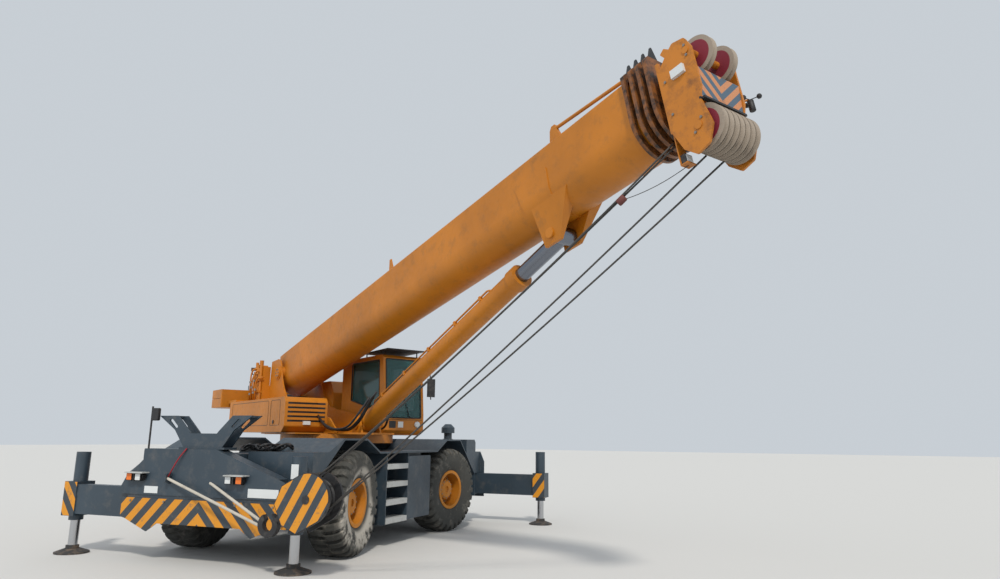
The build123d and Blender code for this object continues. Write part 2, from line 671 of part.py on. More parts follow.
def cab_glass():
    middle = CAB_IN + CAB_WALL / 2
    side = side_window() & block((-2000, 2000), (middle, middle + GLASS), (0, 5000))
    low, high = CAB_FRONT - 6, CAB_FRONT - 126
    slope = side_plate([(low, 2100), (low + GLASS, 2100), (high + GLASS, 3400), (high, 3400)], 500, 1320)
    rear = rear_window() & block((-930, -922), (0, 2000), (0, 5000))
    return side + (windscreen() & slope) + rear


def door_glass():
    return door_window() & block((-2000, 2000), (CAB_OUT + DOOR_GAP + 16, CAB_OUT + DOOR_GAP + 24), (0, 5000))


def cab_seat():
    post = block((-350, -50), (800, 1040), (1935, 2200))
    cushion = side_plate([(-480, 2200), (80, 2200), (100, 2330), (-480, 2330)], 670, 1170, 30)
    back = side_plate([(-480, 2300), (-360, 2300), (-480, 2980), (-600, 2980)], 690, 1150, 30)
    desk = block((CAB_FRONT - 380, CAB_FRONT - 200), (640, 1180), (1935, 2120))
    return post + cushion + back + desk


# Sunshade on posts over the cab roof's front
def sunshade():
    plate = side_plate([(-100, 3455), (CAB_FRONT + 20, 3470), (CAB_FRONT + 20, 3490), (-100, 3475)], 500, 1320)
    posts = Part()
    for x in (0, CAB_FRONT - 230):
        for y in (540, 1280):
            posts += shaft((x, y, 3380), (x, y, 3472), 12)
    return plate + posts


# Lift cylinder, about its lower pin with the rod to +X
def lift_barrel():
    end = lift_length(ELEVATION) - ROD_OUT
    bore = BARREL_RADIUS - BARREL_WALL
    tube = pipe((150, 0, 0), (end, 0, 0), BARREL_RADIUS, bore)
    gland = pipe((end - 150, 0, 0), (end + 20, 0, 0), BARREL_RADIUS + 18, LIFT_ROD + GAP)
    foot = shaft((LIFT_PIN, 0, 0), (170, 0, 0), BARREL_RADIUS)
    eye = shaft((0, -130, 0), (0, 130, 0), BARREL_RADIUS)
    return tube + gland + foot + eye - shaft((0, -140, 0), (0, 140, 0), LIFT_PIN)


def lift_rod():
    reach = lift_length(ELEVATION)
    rod = shaft((PISTON_BACK, 0, 0), (reach, 0, 0), LIFT_ROD)
    piston = shaft((PISTON_BACK, 0, 0), (PISTON_BACK + 160, 0, 0), BARREL_RADIUS - BARREL_WALL - GAP)
    eye = shaft((reach, 15 - LUG_IN, 0), (reach, LUG_IN - 15, 0), ROD_EYE)
    return rod + piston + eye - shaft((reach, -LUG_IN, 0), (reach, LUG_IN, 0), 65)


def eye_point(elevation):
    """The upper pin's place (s, z) at a boom elevation in degrees."""
    angle = math.radians(elevation)
    s = PIVOT_S + EYE_L * math.cos(angle) - EYE_N * math.sin(angle)
    z = PIVOT_Z + EYE_L * math.sin(angle) + EYE_N * math.cos(angle)
    return s, z


def lift_length(elevation):
    s, z = eye_point(elevation)
    return math.hypot(s - LIFT_S, z - LIFT_Z)


def lift_angle(elevation):
    s, z = eye_point(elevation)
    return math.degrees(math.atan2(z - LIFT_Z, s - LIFT_S))


LIFT = UPPER * Pos(LIFT_S, 0, LIFT_Z) * Rot(0, -lift_angle(ELEVATION), 0)

save("turntable", turntable(), UPPER)
save("boom_pin", foot_pin(PIVOT_PIN, CHEEK_OUT + 15), UPPER * Pos(PIVOT_S, 0, PIVOT_Z))
save("lift_pin", foot_pin(LIFT_PIN - GAP, BRACKET_OUT), UPPER * Pos(LIFT_S, 0, LIFT_Z))
save("counterweight", counterweight(), UPPER)
save("right_housing", right_housing(), UPPER)
save("left_tank", left_tank(), UPPER)
save("winch", winch(), UPPER * Pos(-2900, 0, 2620))
save("valve_stack", valve_stack(), UPPER)
save("cab_shell", cab_shell(), UPPER)
save("cab_door", cab_door(), UPPER)
save("cab_glass", cab_glass(), UPPER)
save("door_glass", door_glass(), UPPER)
save("cab_seat", cab_seat(), UPPER)
save("sunshade", sunshade(), UPPER)
save("lift_barrel", lift_barrel(), LIFT)
save("lift_rod", lift_rod(), LIFT)


# Boom section outline: flat sides and top, a half-round belly
def section_face(inset, at):
    half = BOOM_HALF - inset
    top = BOOM_TOP - inset
    corner = 60.0
    sides = Polyline((at, half, BOOM_ARC_N), (at, half, top - corner), (at, half - corner, top),
                     (at, corner - half, top), (at, -half, top - corner), (at, -half, BOOM_ARC_N))
    belly = ThreePointArc((at, -half, BOOM_ARC_N), (at, 0, BOOM_ARC_N - half), (at, half, BOOM_ARC_N))
    return make_face([sides, belly])


def section_solid(inset, start, end):
    return extrude(section_face(inset, start), amount=end - start, dir=(1, 0, 0))


def boom_tube(number):
    inset = BOOM_STEP * number
    start = BOOM_START if number == 0 else 150.0 + 60 * number
    end = COLLAR_L + COLLAR_PITCH * number + COLLAR_PLATE
    if number == 4:
        end = HEAD_L
    body = section_solid(inset, start, end) - section_solid(inset + BOOM_WALL, start - 1, end + 1)
    return body, inset, start, end


# Collar plate round a section's mouth, with two pointed fins and the wear pads for the next section
def collar(number, inset, end):
    start = end - COLLAR_PLATE
    plate = section_solid(-COLLAR_GROW, start, end)
    top = BOOM_TOP + COLLAR_GROW - 20
    for side in (-1, 1):
        fin = [(side * 160, top), (side * 228, FIN_TOP), (side * 246, FIN_TOP), (side * 320, top)]
        plate += cross_plate(fin, start + 10, end - 10)
    plate -= section_solid(inset + BOOM_WALL, start - 1, end + 1)
    return plate + pads(inset + BOOM_WALL, inset + BOOM_STEP - GAP, end - 150, end)


# Wear pads filling the gap between two nested sections at the top, the sides and the belly
def pads(outer, inner, start, end):
    ring = section_solid(outer - 2, start, end) - section_solid(inner, start - 1, end + 1)
    keep = block((start, end), (-150, 150), (200, 600))
    keep += block((start, end), (-500, 500), (-60, 120))
    keep += block((start, end), (-170, 170), (-600, -200))
    return ring & keep


def boom_base():
    body, inset, start, end = boom_tube(0)
    body += collar(0, inset, end)
    body += section_solid(2, BOOM_START, BOOM_START + 20)
    side = CHEEK_OUT - 40 - GAP
    body += shaft((0, -side, 0), (0, side, 0), 140)
    body -= shaft((0, -500, 0), (0, 500, 0), PIVOT_PIN + GAP)
    body += saddle() + lift_lug(1) + lift_lug(-1)
    body += mirrored(side_plate([(4800, 450), (4840, 630), (4890, 630), (4930, 450)], 290, 310))
    return body + mirrored(tow_bar(end))


# Doubler plate wrapped round the belly above the lift cylinder's lugs
def saddle():
    start, end = EYE_L - 380, EYE_L + 250
    wrap = section_solid(-12, start, end) - section_solid(BOOM_WALL / 2, start - 1, end + 1)
    return wrap & side_plate([(start, 130), (start + 190, -600), (end + 60, -600), (end, 130)], -600, 600)


# Lug box beside the lift rod's eye: flat inside, leaning outside, sloped in front
def lift_lug(side):
    low = EYE_N - 130
    across = [(side * LUG_IN, -250), (side * 335, -250), (side * 185, low), (side * LUG_IN, low)]
    start, end = EYE_L - 160, EYE_L + 520
    edge = [(start, -250), (start, low), (EYE_L + 130, low), (end, -250)]
    lug = cross_plate(across, start - 1, end + 1) & side_plate(edge, -600, 600)
    lug += shaft((EYE_L, side * LUG_IN, EYE_N), (EYE_L, side * 240, EYE_N), 70)
    return lug - section_solid(BOOM_WALL / 2, start - 10, end + 10)


# Brace on the boom's top, from its bracket to the first collar
def tow_bar(end):
    foot = side_plate([(9060, 450), (9090, 600), (9130, 650), (9190, 650), (9260, 450)], 270, 310)
    return foot + shaft((9150, 290, 600), (end - COLLAR_PLATE + 5, 290, 505), 22)


# Inner sections: the last one carries the head
def inner_section(number):
    body, inset, start, end = boom_tube(number)
    if number < 4:
        body += collar(number, inset, end)
    body += rear_pads(inset, start)
    return body


def rear_pads(inset, start):
    ring = section_solid(inset - BOOM_STEP + BOOM_WALL + GAP, start, start + 150)
    ring -= section_solid(inset + 2, start - 1, start + 151)
    keep = block((start, start + 150), (-150, 150), (200, 600))
    keep += block((start, start + 150), (-500, 500), (-60, 120))
    keep += block((start, start + 150), (-170, 170), (-600, -200))
    return ring & keep


# Boom head: end plate, two cheeks and the bars between them
HEAD_EDGE = ((0, -500), (30, 220), (170, 360), (260, 425), (410, 390), (465, 250), (465, -220),
             (420, -370), (485, -690), (400, -870), (240, -915), (110, -790))


def boom_head():
    plate = cross_plate([(-375, -540), (375, -540), (375, 330), (-375, 330)], HEAD_L, HEAD_L + 40)
    edge = [(HEAD_L + x, n) for x, n in HEAD_EDGE]
    body = plate + mirrored(side_plate(edge, CHEEK_IN, CHEEK_IN + 30, 35))
    for (x, n), radius in ((UPPER_SHEAVE, 40), (LOWER_SHEAVE, 45)):
        body += shaft((x, -CHEEK_IN - 40, n), (x, CHEEK_IN + 40, n), radius)
    body += block((HEAD_L + 35, HEAD_L + 150), (-CHEEK_IN - 5, CHEEK_IN + 5), (-330, -310))
    sign = [(HEAD_L + 400, -355), (HEAD_L + 425, -355), (HEAD_L + 462, 0), (HEAD_L + 437, 0)]
    body += side_plate(sign, -CHEEK_IN - 5, CHEEK_IN + 5)
    body += block((HEAD_L + 412, HEAD_L + 462), (-CHEEK_IN - 5, CHEEK_IN + 5), (-375, -350))
    ear = [(HEAD_L + 150, 305), (HEAD_L + 235, 365), (HEAD_L + 150, 440), (HEAD_L + 90, 400)]
    return body + mirrored(side_plate(ear, CHEEK_IN + 5, CHEEK_IN + 27, 12))


def head_sheaves():
    group = Part()
    for place in range(7):
        y = -264 + 88 * place
        group += Pos(LOWER_SHEAVE[0], y, LOWER_SHEAVE[1]) * sheave(245, 45, 70)
        if place in (1, 5):
            group += Pos(UPPER_SHEAVE[0], y, UPPER_SHEAVE[1]) * sheave(215, 40, 70)
    return group


save("boom_base", boom_base(), BOOM)
for number in (1, 2, 3, 4):
    save(f"boom_section_{number}", inner_section(number), BOOM)
save("boom_head", boom_head(), BOOM)
save("head_sheaves", head_sheaves(), BOOM)
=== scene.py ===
import json
import math

import bpy
import numpy as np
from mathutils import Matrix, Vector


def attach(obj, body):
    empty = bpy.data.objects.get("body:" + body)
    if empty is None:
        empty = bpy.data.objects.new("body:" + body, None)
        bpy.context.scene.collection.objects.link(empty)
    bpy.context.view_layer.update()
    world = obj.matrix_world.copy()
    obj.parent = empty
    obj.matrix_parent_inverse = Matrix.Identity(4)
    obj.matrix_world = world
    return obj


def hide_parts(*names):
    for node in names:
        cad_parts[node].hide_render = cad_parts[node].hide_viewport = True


# %% [markdown]
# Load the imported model. Every CAD node keeps its place; this script gives it materials, puts lugged
# tyres in place of the plain ones and adds the pieces that are too fine for CAD: bolts, ropes, stripes,
# lamps, hoses, rails, seams and plates.

# %% Load the frame
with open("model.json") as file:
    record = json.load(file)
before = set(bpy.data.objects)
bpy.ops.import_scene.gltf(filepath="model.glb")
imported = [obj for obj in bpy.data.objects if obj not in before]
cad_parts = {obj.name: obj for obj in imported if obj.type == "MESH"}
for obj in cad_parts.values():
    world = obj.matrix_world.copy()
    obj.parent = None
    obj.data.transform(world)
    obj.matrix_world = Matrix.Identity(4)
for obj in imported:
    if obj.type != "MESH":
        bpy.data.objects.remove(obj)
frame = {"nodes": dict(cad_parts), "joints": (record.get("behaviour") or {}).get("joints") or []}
nodes = frame["nodes"]
joints = {joint["name"]: joint for joint in frame["joints"]}
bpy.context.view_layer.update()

# %% [markdown]
# Five frames of reference, read from the joints: the carrier about the slewing axis, the upper structure
# with x along the boom's heading, the boom with x along its length, the lift cylinder, and each wheel.
# A point p of a frame is M p in the row's frame, with M = [x y z | origin].

# %% Frames of reference
def frame_of(origin, x_axis):
    """4 x 4 matrix with columns x, y = up x x, z = x x y and origin."""
    x = np.array(x_axis, float) / np.linalg.norm(x_axis)
    y = np.cross((0.0, 0.0, 1.0), x)
    y /= np.linalg.norm(y)
    matrix = np.eye(4)
    matrix[:3, 0] = x
    matrix[:3, 1] = y
    matrix[:3, 2] = np.cross(x, y)
    matrix[:3, 3] = origin
    return matrix


slew = np.array(joints["slew"]["pos_m"])
boom_axis = np.array(joints["telescope_1"]["axis"])
heading = np.array([boom_axis[0], boom_axis[1], 0.0])
CARRIER = frame_of((slew[0], slew[1], 0.0), (1, 0, 0))
UPPER = frame_of((slew[0], slew[1], 0.0), heading)
BOOM = frame_of(joints["luff"]["pos_m"], boom_axis)
LIFT = frame_of(joints["lift_swing"]["pos_m"], joints["lift_stroke"]["axis"])
WHEELS = {}
for name in ("fl", "fr", "rl", "rr"):
    side = 1.0 if name.endswith("l") else -1.0
    axle = np.array(joints[f"spin_{name}"]["axis"]) * side
    WHEELS[name] = frame_of(joints[f"spin_{name}"]["pos_m"], np.cross(axle, (0, 0, 1)))
print("boom points", np.round(boom_axis, 3))

# %% [markdown]
# The camera was fitted to the photograph: its place and its turn are given in the carrier's frame.

# %% Camera, floor and light
CAMERA_PLACE = (11.815, 7.762, 1.806)
CAMERA_YAW = 201.18
CAMERA_PITCH = 11.99
CAMERA_ROLL = 0.62
LENS = 25.44
SENSOR = 36.0
SHIFT = 0.0059
FLOOR = 240.0


def add_camera():
    """View axes: w = (cos p cos y, cos p sin y, sin p), r = w x z, u = r x w, then rolled about w."""
    yaw, pitch, roll = (math.radians(a) for a in (CAMERA_YAW, CAMERA_PITCH, CAMERA_ROLL))
    ahead = np.array([math.cos(pitch) * math.cos(yaw), math.cos(pitch) * math.sin(yaw), math.sin(pitch)])
    right = np.cross(ahead, (0, 0, 1))
    right /= np.linalg.norm(right)
    up = np.cross(right, ahead)
    turned_right = math.cos(roll) * right + math.sin(roll) * up
    turned_up = -math.sin(roll) * right + math.cos(roll) * up
    matrix = np.eye(4)
    matrix[:3, 0] = turned_right
    matrix[:3, 1] = turned_up
    matrix[:3, 2] = -ahead
    matrix[:3, 3] = (CARRIER @ np.array([*CAMERA_PLACE, 1.0]))[:3]
    data = bpy.data.cameras.new("camera")
    data.lens = LENS
    data.sensor_width = SENSOR
    data.sensor_fit = "HORIZONTAL"
    data.shift_x = SHIFT
    data.clip_end = 500.0
    camera = bpy.data.objects.new("camera", data)
    camera.matrix_world = Matrix(matrix.tolist())
    bpy.context.scene.collection.objects.link(camera)
    bpy.context.scene.camera = camera


def add_light(name, place, aim, energy, angle, colour):
    """A far light whose angle softens its shadows."""
    data = bpy.data.lights.new(name, "SUN")
    data.energy = energy
    data.color = colour
    data.angle = angle
    light = bpy.data.objects.new(name, data)
    light.location = place
    way = Vector(aim) - Vector(place)
    light.rotation_euler = way.to_track_quat("-Z", "Y").to_euler()
    bpy.context.scene.collection.objects.link(light)


def plain_material(name, colour, roughness=0.5, metallic=0.0):
    material = bpy.data.materials.new(name)
    material.use_nodes = True
    shader = material.node_tree.nodes["Principled BSDF"]
    shader.inputs["Base Color"].default_value = (*colour, 1.0)
    shader.inputs["Roughness"].default_value = roughness
    shader.inputs["Metallic"].default_value = metallic
    return material


def add_studio():
    """A pale floor with an even sky, one high light and one wide soft fill."""
    bpy.ops.mesh.primitive_plane_add(size=FLOOR, location=(0, 0, -0.001))
    floor = bpy.context.object
    floor.name = "floor"
    floor.data.materials.append(plain_material("floor_pale", (0.62, 0.61, 0.59), 0.9))
    world = bpy.data.worlds.new("world")
    world.use_nodes = True
    back = world.node_tree.nodes["Background"]
    back.inputs["Color"].default_value = (0.80, 0.86, 0.92, 1.0)
    back.inputs["Strength"].default_value = 0.72
    bpy.context.scene.world = world
    add_light("sun", (20, 10, 24), (0, 0, 2), 2.1, 0.10, (1.0, 0.95, 0.87))
    add_light("fill", (16, -6, 9), (0, 0, 2), 0.55, 0.9, (0.88, 0.94, 1.0))
    bpy.context.scene.view_settings.view_transform = "Standard"


add_camera()
add_studio()

# %% [markdown]
# Small helpers. A finished piece sits at the origin with its place in its mesh, so each helper takes the
# frame's matrix, moves the points by it and hands the object to a body.

# %% Mesh helpers
def moved(matrix, points):
    """Points p (n x 3) taken through the frame: M[:3, :3] p + M[:3, 3]."""
    return np.asarray(points, float) @ matrix[:3, :3].T + matrix[:3, 3]


def add_piece(name, points, faces, body, material, smooth=False):
    """A mesh of the row's frame with one material, riding on a body."""
    mesh = bpy.data.meshes.new(name)
    mesh.from_pydata(np.asarray(points).tolist(), [], [list(map(int, face)) for face in faces])
    mesh.materials.append(material)
    mesh.update()
    if smooth:
        mesh.polygons.foreach_set("use_smooth", [True] * len(mesh.polygons))
    piece = bpy.data.objects.new(name, mesh)
    bpy.context.scene.collection.objects.link(piece)
    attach(piece, body)
    return piece


def joined(parts):
    """Several (points, faces) lists as one, each part's face numbers shifted by the points before it."""
    shift = 0
    all_points = []
    all_faces = []
    for points, faces in parts:
        all_points.append(np.asarray(points, float))
        all_faces += [[index + shift for index in face] for face in faces]
        shift += len(points)
    return np.vstack(all_points), all_faces


CORNERS = np.array([(i, j, k) for i in (-1, 1) for j in (-1, 1) for k in (-1, 1)], float)
CUBE = [(0, 1, 3, 2), (4, 6, 7, 5), (0, 4, 5, 1), (2, 3, 7, 6), (0, 2, 6, 4), (1, 5, 7, 3)]


def cuboid(low, high):
    """Box from its lowest to its highest corner."""
    low, high = np.array(low, float), np.array(high, float)
    return (low + high) / 2 + CORNERS * (high - low) / 2, CUBE


def grid_faces(rows, columns, wrap):
    """Quads of a rows x columns grid of points; wrap closes the rows' direction on itself."""
    last = rows if wrap else rows - 1
    i, j = np.meshgrid(np.arange(last), np.arange(columns - 1), indexing="ij")
    i, j = i.ravel(), j.ravel()
    k = (i + 1) % rows
    return np.stack([i * columns + j, k * columns + j, k * columns + j + 1, i * columns + j + 1], 1)


def lathe(profile, around):
    """Profile of (r, a) turned about Y: x = r cos t, y = a, z = -r sin t. Both ends lie on the axis."""
    turn = np.linspace(0, 2 * math.pi, around, endpoint=False)[:, None]
    r, a = np.array(profile, float).T
    points = np.stack([r * np.cos(turn), a + 0 * turn, -r * np.sin(turn)], -1).reshape(-1, 3)
    return points, grid_faces(around, len(r), True).tolist()


def disc_shape(radius, low, high, bevel, around=20):
    """Round bar about Y between two places, its ends closed at the axis."""
    return lathe([(0, low), (radius - bevel, low), (radius, low + bevel), (radius, high - bevel),
                  (radius - bevel, high), (0, high)], around)


def prism_shape(outline, low, high, axis=1):
    """An outline of two coordinates pushed along the third axis from low to high."""
    flat = np.array(outline, float)
    count = len(flat)
    both = []
    for depth in (low, high):
        both.append(np.insert(flat, axis, depth, axis=1))
    faces = [list(range(count))[::-1], list(range(count, 2 * count))]
    faces += [[k, (k + 1) % count, (k + 1) % count + count, k + count] for k in range(count)]
    return np.vstack(both), faces


def rounded_path(corners, radius, steps=6):
    """Straight runs joined by curves: each corner c becomes the parabola from c - r u to c + r v, with u
    and v the ways into and out of it and r at most 0.45 of either run."""
    corners = np.array(corners, float)
    way = [corners[:1]]
    t = np.linspace(0, 1, steps + 1)[:, None]
    for before, here, after in zip(corners[:-2], corners[1:-1], corners[2:]):
        into = before - here
        out = after - here
        reach = min(radius, 0.45 * np.linalg.norm(into), 0.45 * np.linalg.norm(out))
        start = here + into / np.linalg.norm(into) * reach
        end = here + out / np.linalg.norm(out) * reach
        way.append((1 - t) ** 2 * start + 2 * t * (1 - t) * here + t ** 2 * end)
    way.append(corners[-1:])
    return np.vstack(way)


def tube_shape(path, radius, around=10):
    """Round tube along a path: ring points p + r (cos a n + sin a b), n and b square to the path."""
    path = np.asarray(path, float)
    way = np.gradient(path, axis=0)
    way /= np.linalg.norm(way, axis=1)[:, None]
    hint = np.array((0.13, 0.21, 0.97))
    normal = np.cross(way, hint)
    normal /= np.linalg.norm(normal, axis=1)[:, None]
    other = np.cross(way, normal)
    angle = np.linspace(0, 2 * math.pi, around, endpoint=False)
    ring = (path[:, None, :] + radius * (np.cos(angle)[None, :, None] * normal[:, None, :]
                                         + np.sin(angle)[None, :, None] * other[:, None, :]))
    count = len(path)
    i, j = np.meshgrid(np.arange(count - 1), np.arange(around), indexing="ij")
    i, j = i.ravel(), j.ravel()
    k = (j + 1) % around
    sides = np.stack([i * around + j, i * around + k, (i + 1) * around + k, (i + 1) * around + j], 1)
    faces = sides.tolist()
    faces.append(list(range(around))[::-1])
    faces.append([(count - 1) * around + j for j in range(around)])
    return ring.reshape(-1, 3), faces


def add_tube(name, frame_matrix, corners, radius, body, material, bend, around=10):
    """A tube through the corners of a frame, which are rounded by the bend, on a body."""
    points, faces = tube_shape(rounded_path(corners, bend), radius, around)
    add_piece(name, moved(frame_matrix, points), faces, body, material, smooth=True)


def upright(place, way):
    """Matrix that stands a shape made about Y at a place, with Y along the given way."""
    y = np.array(way, float) / np.linalg.norm(way)
    hint = np.array((1.0, 0, 0)) if abs(y[0]) < 0.9 else np.array((0, 0, 1.0))
    x = np.cross(y, hint)
    x /= np.linalg.norm(x)
    matrix = np.eye(4)
    matrix[:3, 0] = x
    matrix[:3, 1] = y
    matrix[:3, 2] = np.cross(x, y)
    matrix[:3, 3] = place
    return matrix


HEX = [(math.cos(a), math.sin(a)) for a in np.radians(np.arange(0, 360, 60))]


def bolts(places, way, radius, height=0.012):
    """Hexagon heads at the places, standing along the way."""
    parts = []
    for place in places:
        points, faces = prism_shape([(radius * x, radius * z) for x, z in HEX], 0.0, height)
        parts.append((moved(upright(place, way), points), faces))
    return joined(parts)


# %% [markdown]
# Paint is a principled shader with noise over the Object coordinates: large soft dirt, small speckle in
# the roughness, and a shallow bump. Stripes take the fraction of a distance in the same coordinates.

# %% Material helpers
def node_chain(material):
    """A material's node tree and its shader."""
    tree = material.node_tree
    return tree, tree.nodes["Principled BSDF"]


def noise(tree, source, scale, detail=4.0, roughness=0.6):
    texture = tree.nodes.new("ShaderNodeTexNoise")
    texture.inputs["Scale"].default_value = scale
    texture.inputs["Detail"].default_value = detail
    texture.inputs["Roughness"].default_value = roughness
    tree.links.new(source, texture.inputs["Vector"])
    return texture.outputs["Fac"]


def ramp(tree, source, low, high):
    """Factor raised from 0 at low to 1 at high."""
    node = tree.nodes.new("ShaderNodeMapRange")
    node.inputs["From Min"].default_value = low
    node.inputs["From Max"].default_value = high
    tree.links.new(source, node.inputs["Value"])
    return node.outputs["Result"]


def mix_colour(tree, factor, first, second):
    """Colour first where the factor is 0 and second where it is 1; each is a colour or a socket."""
    node = tree.nodes.new("ShaderNodeMix")
    node.data_type = "RGBA"
    tree.links.new(factor, node.inputs["Factor"])
    for value, socket in ((first, node.inputs[6]), (second, node.inputs[7])):
        if isinstance(value, tuple):
            socket.default_value = (*value, 1.0)
        else:
            tree.links.new(value, socket)
    return node.outputs[2]


def object_coordinates(tree):
    return tree.nodes.new("ShaderNodeTexCoord").outputs["Object"]


def math_node(tree, operation, first, second=None):
    """Result of one operation; each input is a number or a socket."""
    node = tree.nodes.new("ShaderNodeMath")
    node.operation = operation
    for value, socket in ((first, node.inputs[0]), (second, node.inputs[1])):
        if value is None:
            continue
        if isinstance(value, (int, float)):
            socket.default_value = value
        else:
            tree.links.new(value, socket)
    return node.outputs[0]


def painted(name, colour, dirt=(0.32, 0.27, 0.21), amount=0.35, roughness=0.42, shade=0.75, metallic=0.0):
    """Weathered paint: the colour darkened by a soft noise, dirt where a second noise is high, and a
    third noise in the roughness."""
    material = plain_material(name, colour, roughness, metallic)
    tree, shader = node_chain(material)
    place = object_coordinates(tree)
    soft = ramp(tree, noise(tree, place, 0.9), 0.35, 0.7)
    worn = mix_colour(tree, soft, colour, tuple(shade * c for c in colour))
    spots = ramp(tree, noise(tree, place, 5.0, 8.0, 0.7), 0.52, 0.78)
    dirty = math_node(tree, "MULTIPLY", spots, amount)
    colour_out = mix_colour(tree, dirty, worn, dirt)
    tree.links.new(colour_out, shader.inputs["Base Color"])
    rough = ramp(tree, noise(tree, place, 14.0, 6.0), 0.2, 0.8)
    low = tree.nodes.new("ShaderNodeMapRange")
    low.inputs["To Min"].default_value = roughness - 0.08
    low.inputs["To Max"].default_value = roughness + 0.16
    tree.links.new(rough, low.inputs["Value"])
    tree.links.new(low.outputs["Result"], shader.inputs["Roughness"])
    bump = tree.nodes.new("ShaderNodeBump")
    bump.inputs["Strength"].default_value = 0.06
    bump.inputs["Distance"].default_value = 0.02
    tree.links.new(noise(tree, place, 3.0, 3.0), bump.inputs["Height"])
    tree.links.new(bump.outputs["Normal"], shader.inputs["Normal"])
    return material


def striped(name, direction, pitch, first, second, offset=0.0, fold=None):
    """Painted stripes: band = frac(n . p / pitch + offset) > 0.5, with n the direction in the row's
    frame; fold = (centre, across, k) adds k |across . p - centre| to n . p, which makes chevrons."""
    material = plain_material(name, first, 0.5)
    tree, shader = node_chain(material)
    place = object_coordinates(tree)
    along = dot(tree, place, direction)
    if fold is not None:
        centre, across, steep = fold
        sideways = math_node(tree, "SUBTRACT", dot(tree, place, across), centre)
        sideways = math_node(tree, "MULTIPLY", math_node(tree, "ABSOLUTE", sideways), steep)
        along = math_node(tree, "ADD", along, sideways)
    turns = math_node(tree, "ADD", math_node(tree, "DIVIDE", along, pitch), offset)
    band = math_node(tree, "GREATER_THAN", math_node(tree, "FRACT", turns), 0.5)
    worn = math_node(tree, "MULTIPLY", ramp(tree, noise(tree, place, 9.0, 8.0, 0.7), 0.56, 0.72), 0.8)
    stripes = mix_colour(tree, band, first, second)
    tree.links.new(mix_colour(tree, worn, stripes, (0.10, 0.09, 0.08)), shader.inputs["Base Color"])
    return material


def dot(tree, vector, direction):
    node = tree.nodes.new("ShaderNodeVectorMath")
    node.operation = "DOT_PRODUCT"
    node.inputs[1].default_value = tuple(float(c) for c in direction)
    tree.links.new(vector, node.inputs[0])
    return node.outputs["Value"]


# %% [markdown]
# The finishes. A weathered paint is one call: its name, its colour, the colour of its dirt and how much
# of it there is. Chrome, small plastic parts and hoses are plain shaders.

# %% Materials
AMBER = (0.54, 0.180, 0.005)
AMBER_DIRT = (0.17, 0.085, 0.025)
CARRIER_GREY = (0.034, 0.053, 0.072)
RUBBER = (0.062, 0.062, 0.056)
RUBBER_DIRT = (0.23, 0.21, 0.18)
FIN_BLACK = (0.014, 0.014, 0.016)
HUB_RED = (0.20, 0.012, 0.028)
amber = painted("amber_paint", AMBER, dirt=AMBER_DIRT, amount=0.55, shade=0.76)
grey = painted("carrier_paint", CARRIER_GREY, dirt=(0.17, 0.15, 0.13), amount=0.40, roughness=0.36)
rim_paint = painted("rim_paint", (0.58, 0.21, 0.010), dirt=(0.26, 0.20, 0.14), amount=0.8, roughness=0.6)
black = painted("black_steel", (0.018, 0.018, 0.02), amount=0.25, roughness=0.5)
rubber = painted("rubber", RUBBER, dirt=RUBBER_DIRT, amount=0.9, roughness=0.88)
# The chrome's base is dark blue-grey: its blue tint is a painted sky reflection.
chrome = plain_material("chrome", (0.20, 0.22, 0.26), 0.22, 1.0)
steel = painted("worn_steel", (0.30, 0.27, 0.24), dirt=(0.12, 0.07, 0.04), amount=0.6, roughness=0.5,
                metallic=0.6)
tread_steel = painted("pale_tread", (0.46, 0.47, 0.46), dirt=(0.20, 0.18, 0.15), amount=0.6, roughness=0.6)
seat_cloth = plain_material("seat_cloth", (0.03, 0.03, 0.035), 0.9)
sling_white = painted("sling_white", (0.55, 0.51, 0.44), dirt=(0.24, 0.2, 0.15), amount=0.7, roughness=0.9)
hose_black = plain_material("hose_black", (0.012, 0.012, 0.013), 0.45)
weight_red = plain_material("weight_red", (0.13, 0.035, 0.03), 0.7)
red_strap = plain_material("red_strap", (0.28, 0.012, 0.022), 0.8)
orange_plastic = plain_material("orange_plastic", (0.72, 0.16, 0.015), 0.3)
white_plastic = plain_material("white_plastic", (0.62, 0.64, 0.64), 0.35)
rust = painted("rusty_steel", (0.16, 0.075, 0.035), dirt=(0.05, 0.03, 0.02), amount=0.7, roughness=0.8)
rope_steel = painted("rope_steel", (0.05, 0.046, 0.042), dirt=(0.12, 0.10, 0.08), amount=0.5, roughness=0.6)


def glass_material():
    material = plain_material("cab_glass", (0.035, 0.115, 0.115), 0.05)
    shader = material.node_tree.nodes["Principled BSDF"]
    shader.inputs["Alpha"].default_value = 0.62
    shader.inputs["IOR"].default_value = 1.5
    return material


glass = glass_material()

# %% [markdown]
# Some nodes carry two finishes: a collar's ring is rusty and its fins are black, the head's lower bar is
# black, the sheaves have red hubs and the jacks stand on dark floats. A mask picks the second finish from
# the point's place (L, n) along the boom, (p - origin) . axis, or from its height.

# %% Materials that depend on the place
# Places along the boom and up from it, (L, n), and the top of the jacks' floats above the ground
FIN_FOOT = 0.528
FIN_REACH = 1.0
BAR_HEIGHT = (-0.377, -0.3502)
BAR_LENGTH = (11.258, 11.32)
UPPER_SHEAVE = (11.245, 0.24)
UPPER_HUB = 0.165
LOWER_SHEAVE = (11.18, -0.63)
LOWER_HUB = 0.19
FLOAT_TOP = 0.125


def boom_place(tree, place, column):
    """Coordinate of the point along one axis of the boom's frame."""
    axis = BOOM[:3, column]
    return math_node(tree, "SUBTRACT", dot(tree, place, axis), float(BOOM[:3, 3] @ axis))


def between(tree, value, low, high):
    """1 where low < value < high, else 0."""
    above = math_node(tree, "GREATER_THAN", value, low)
    return math_node(tree, "MULTIPLY", above, math_node(tree, "LESS_THAN", value, high))


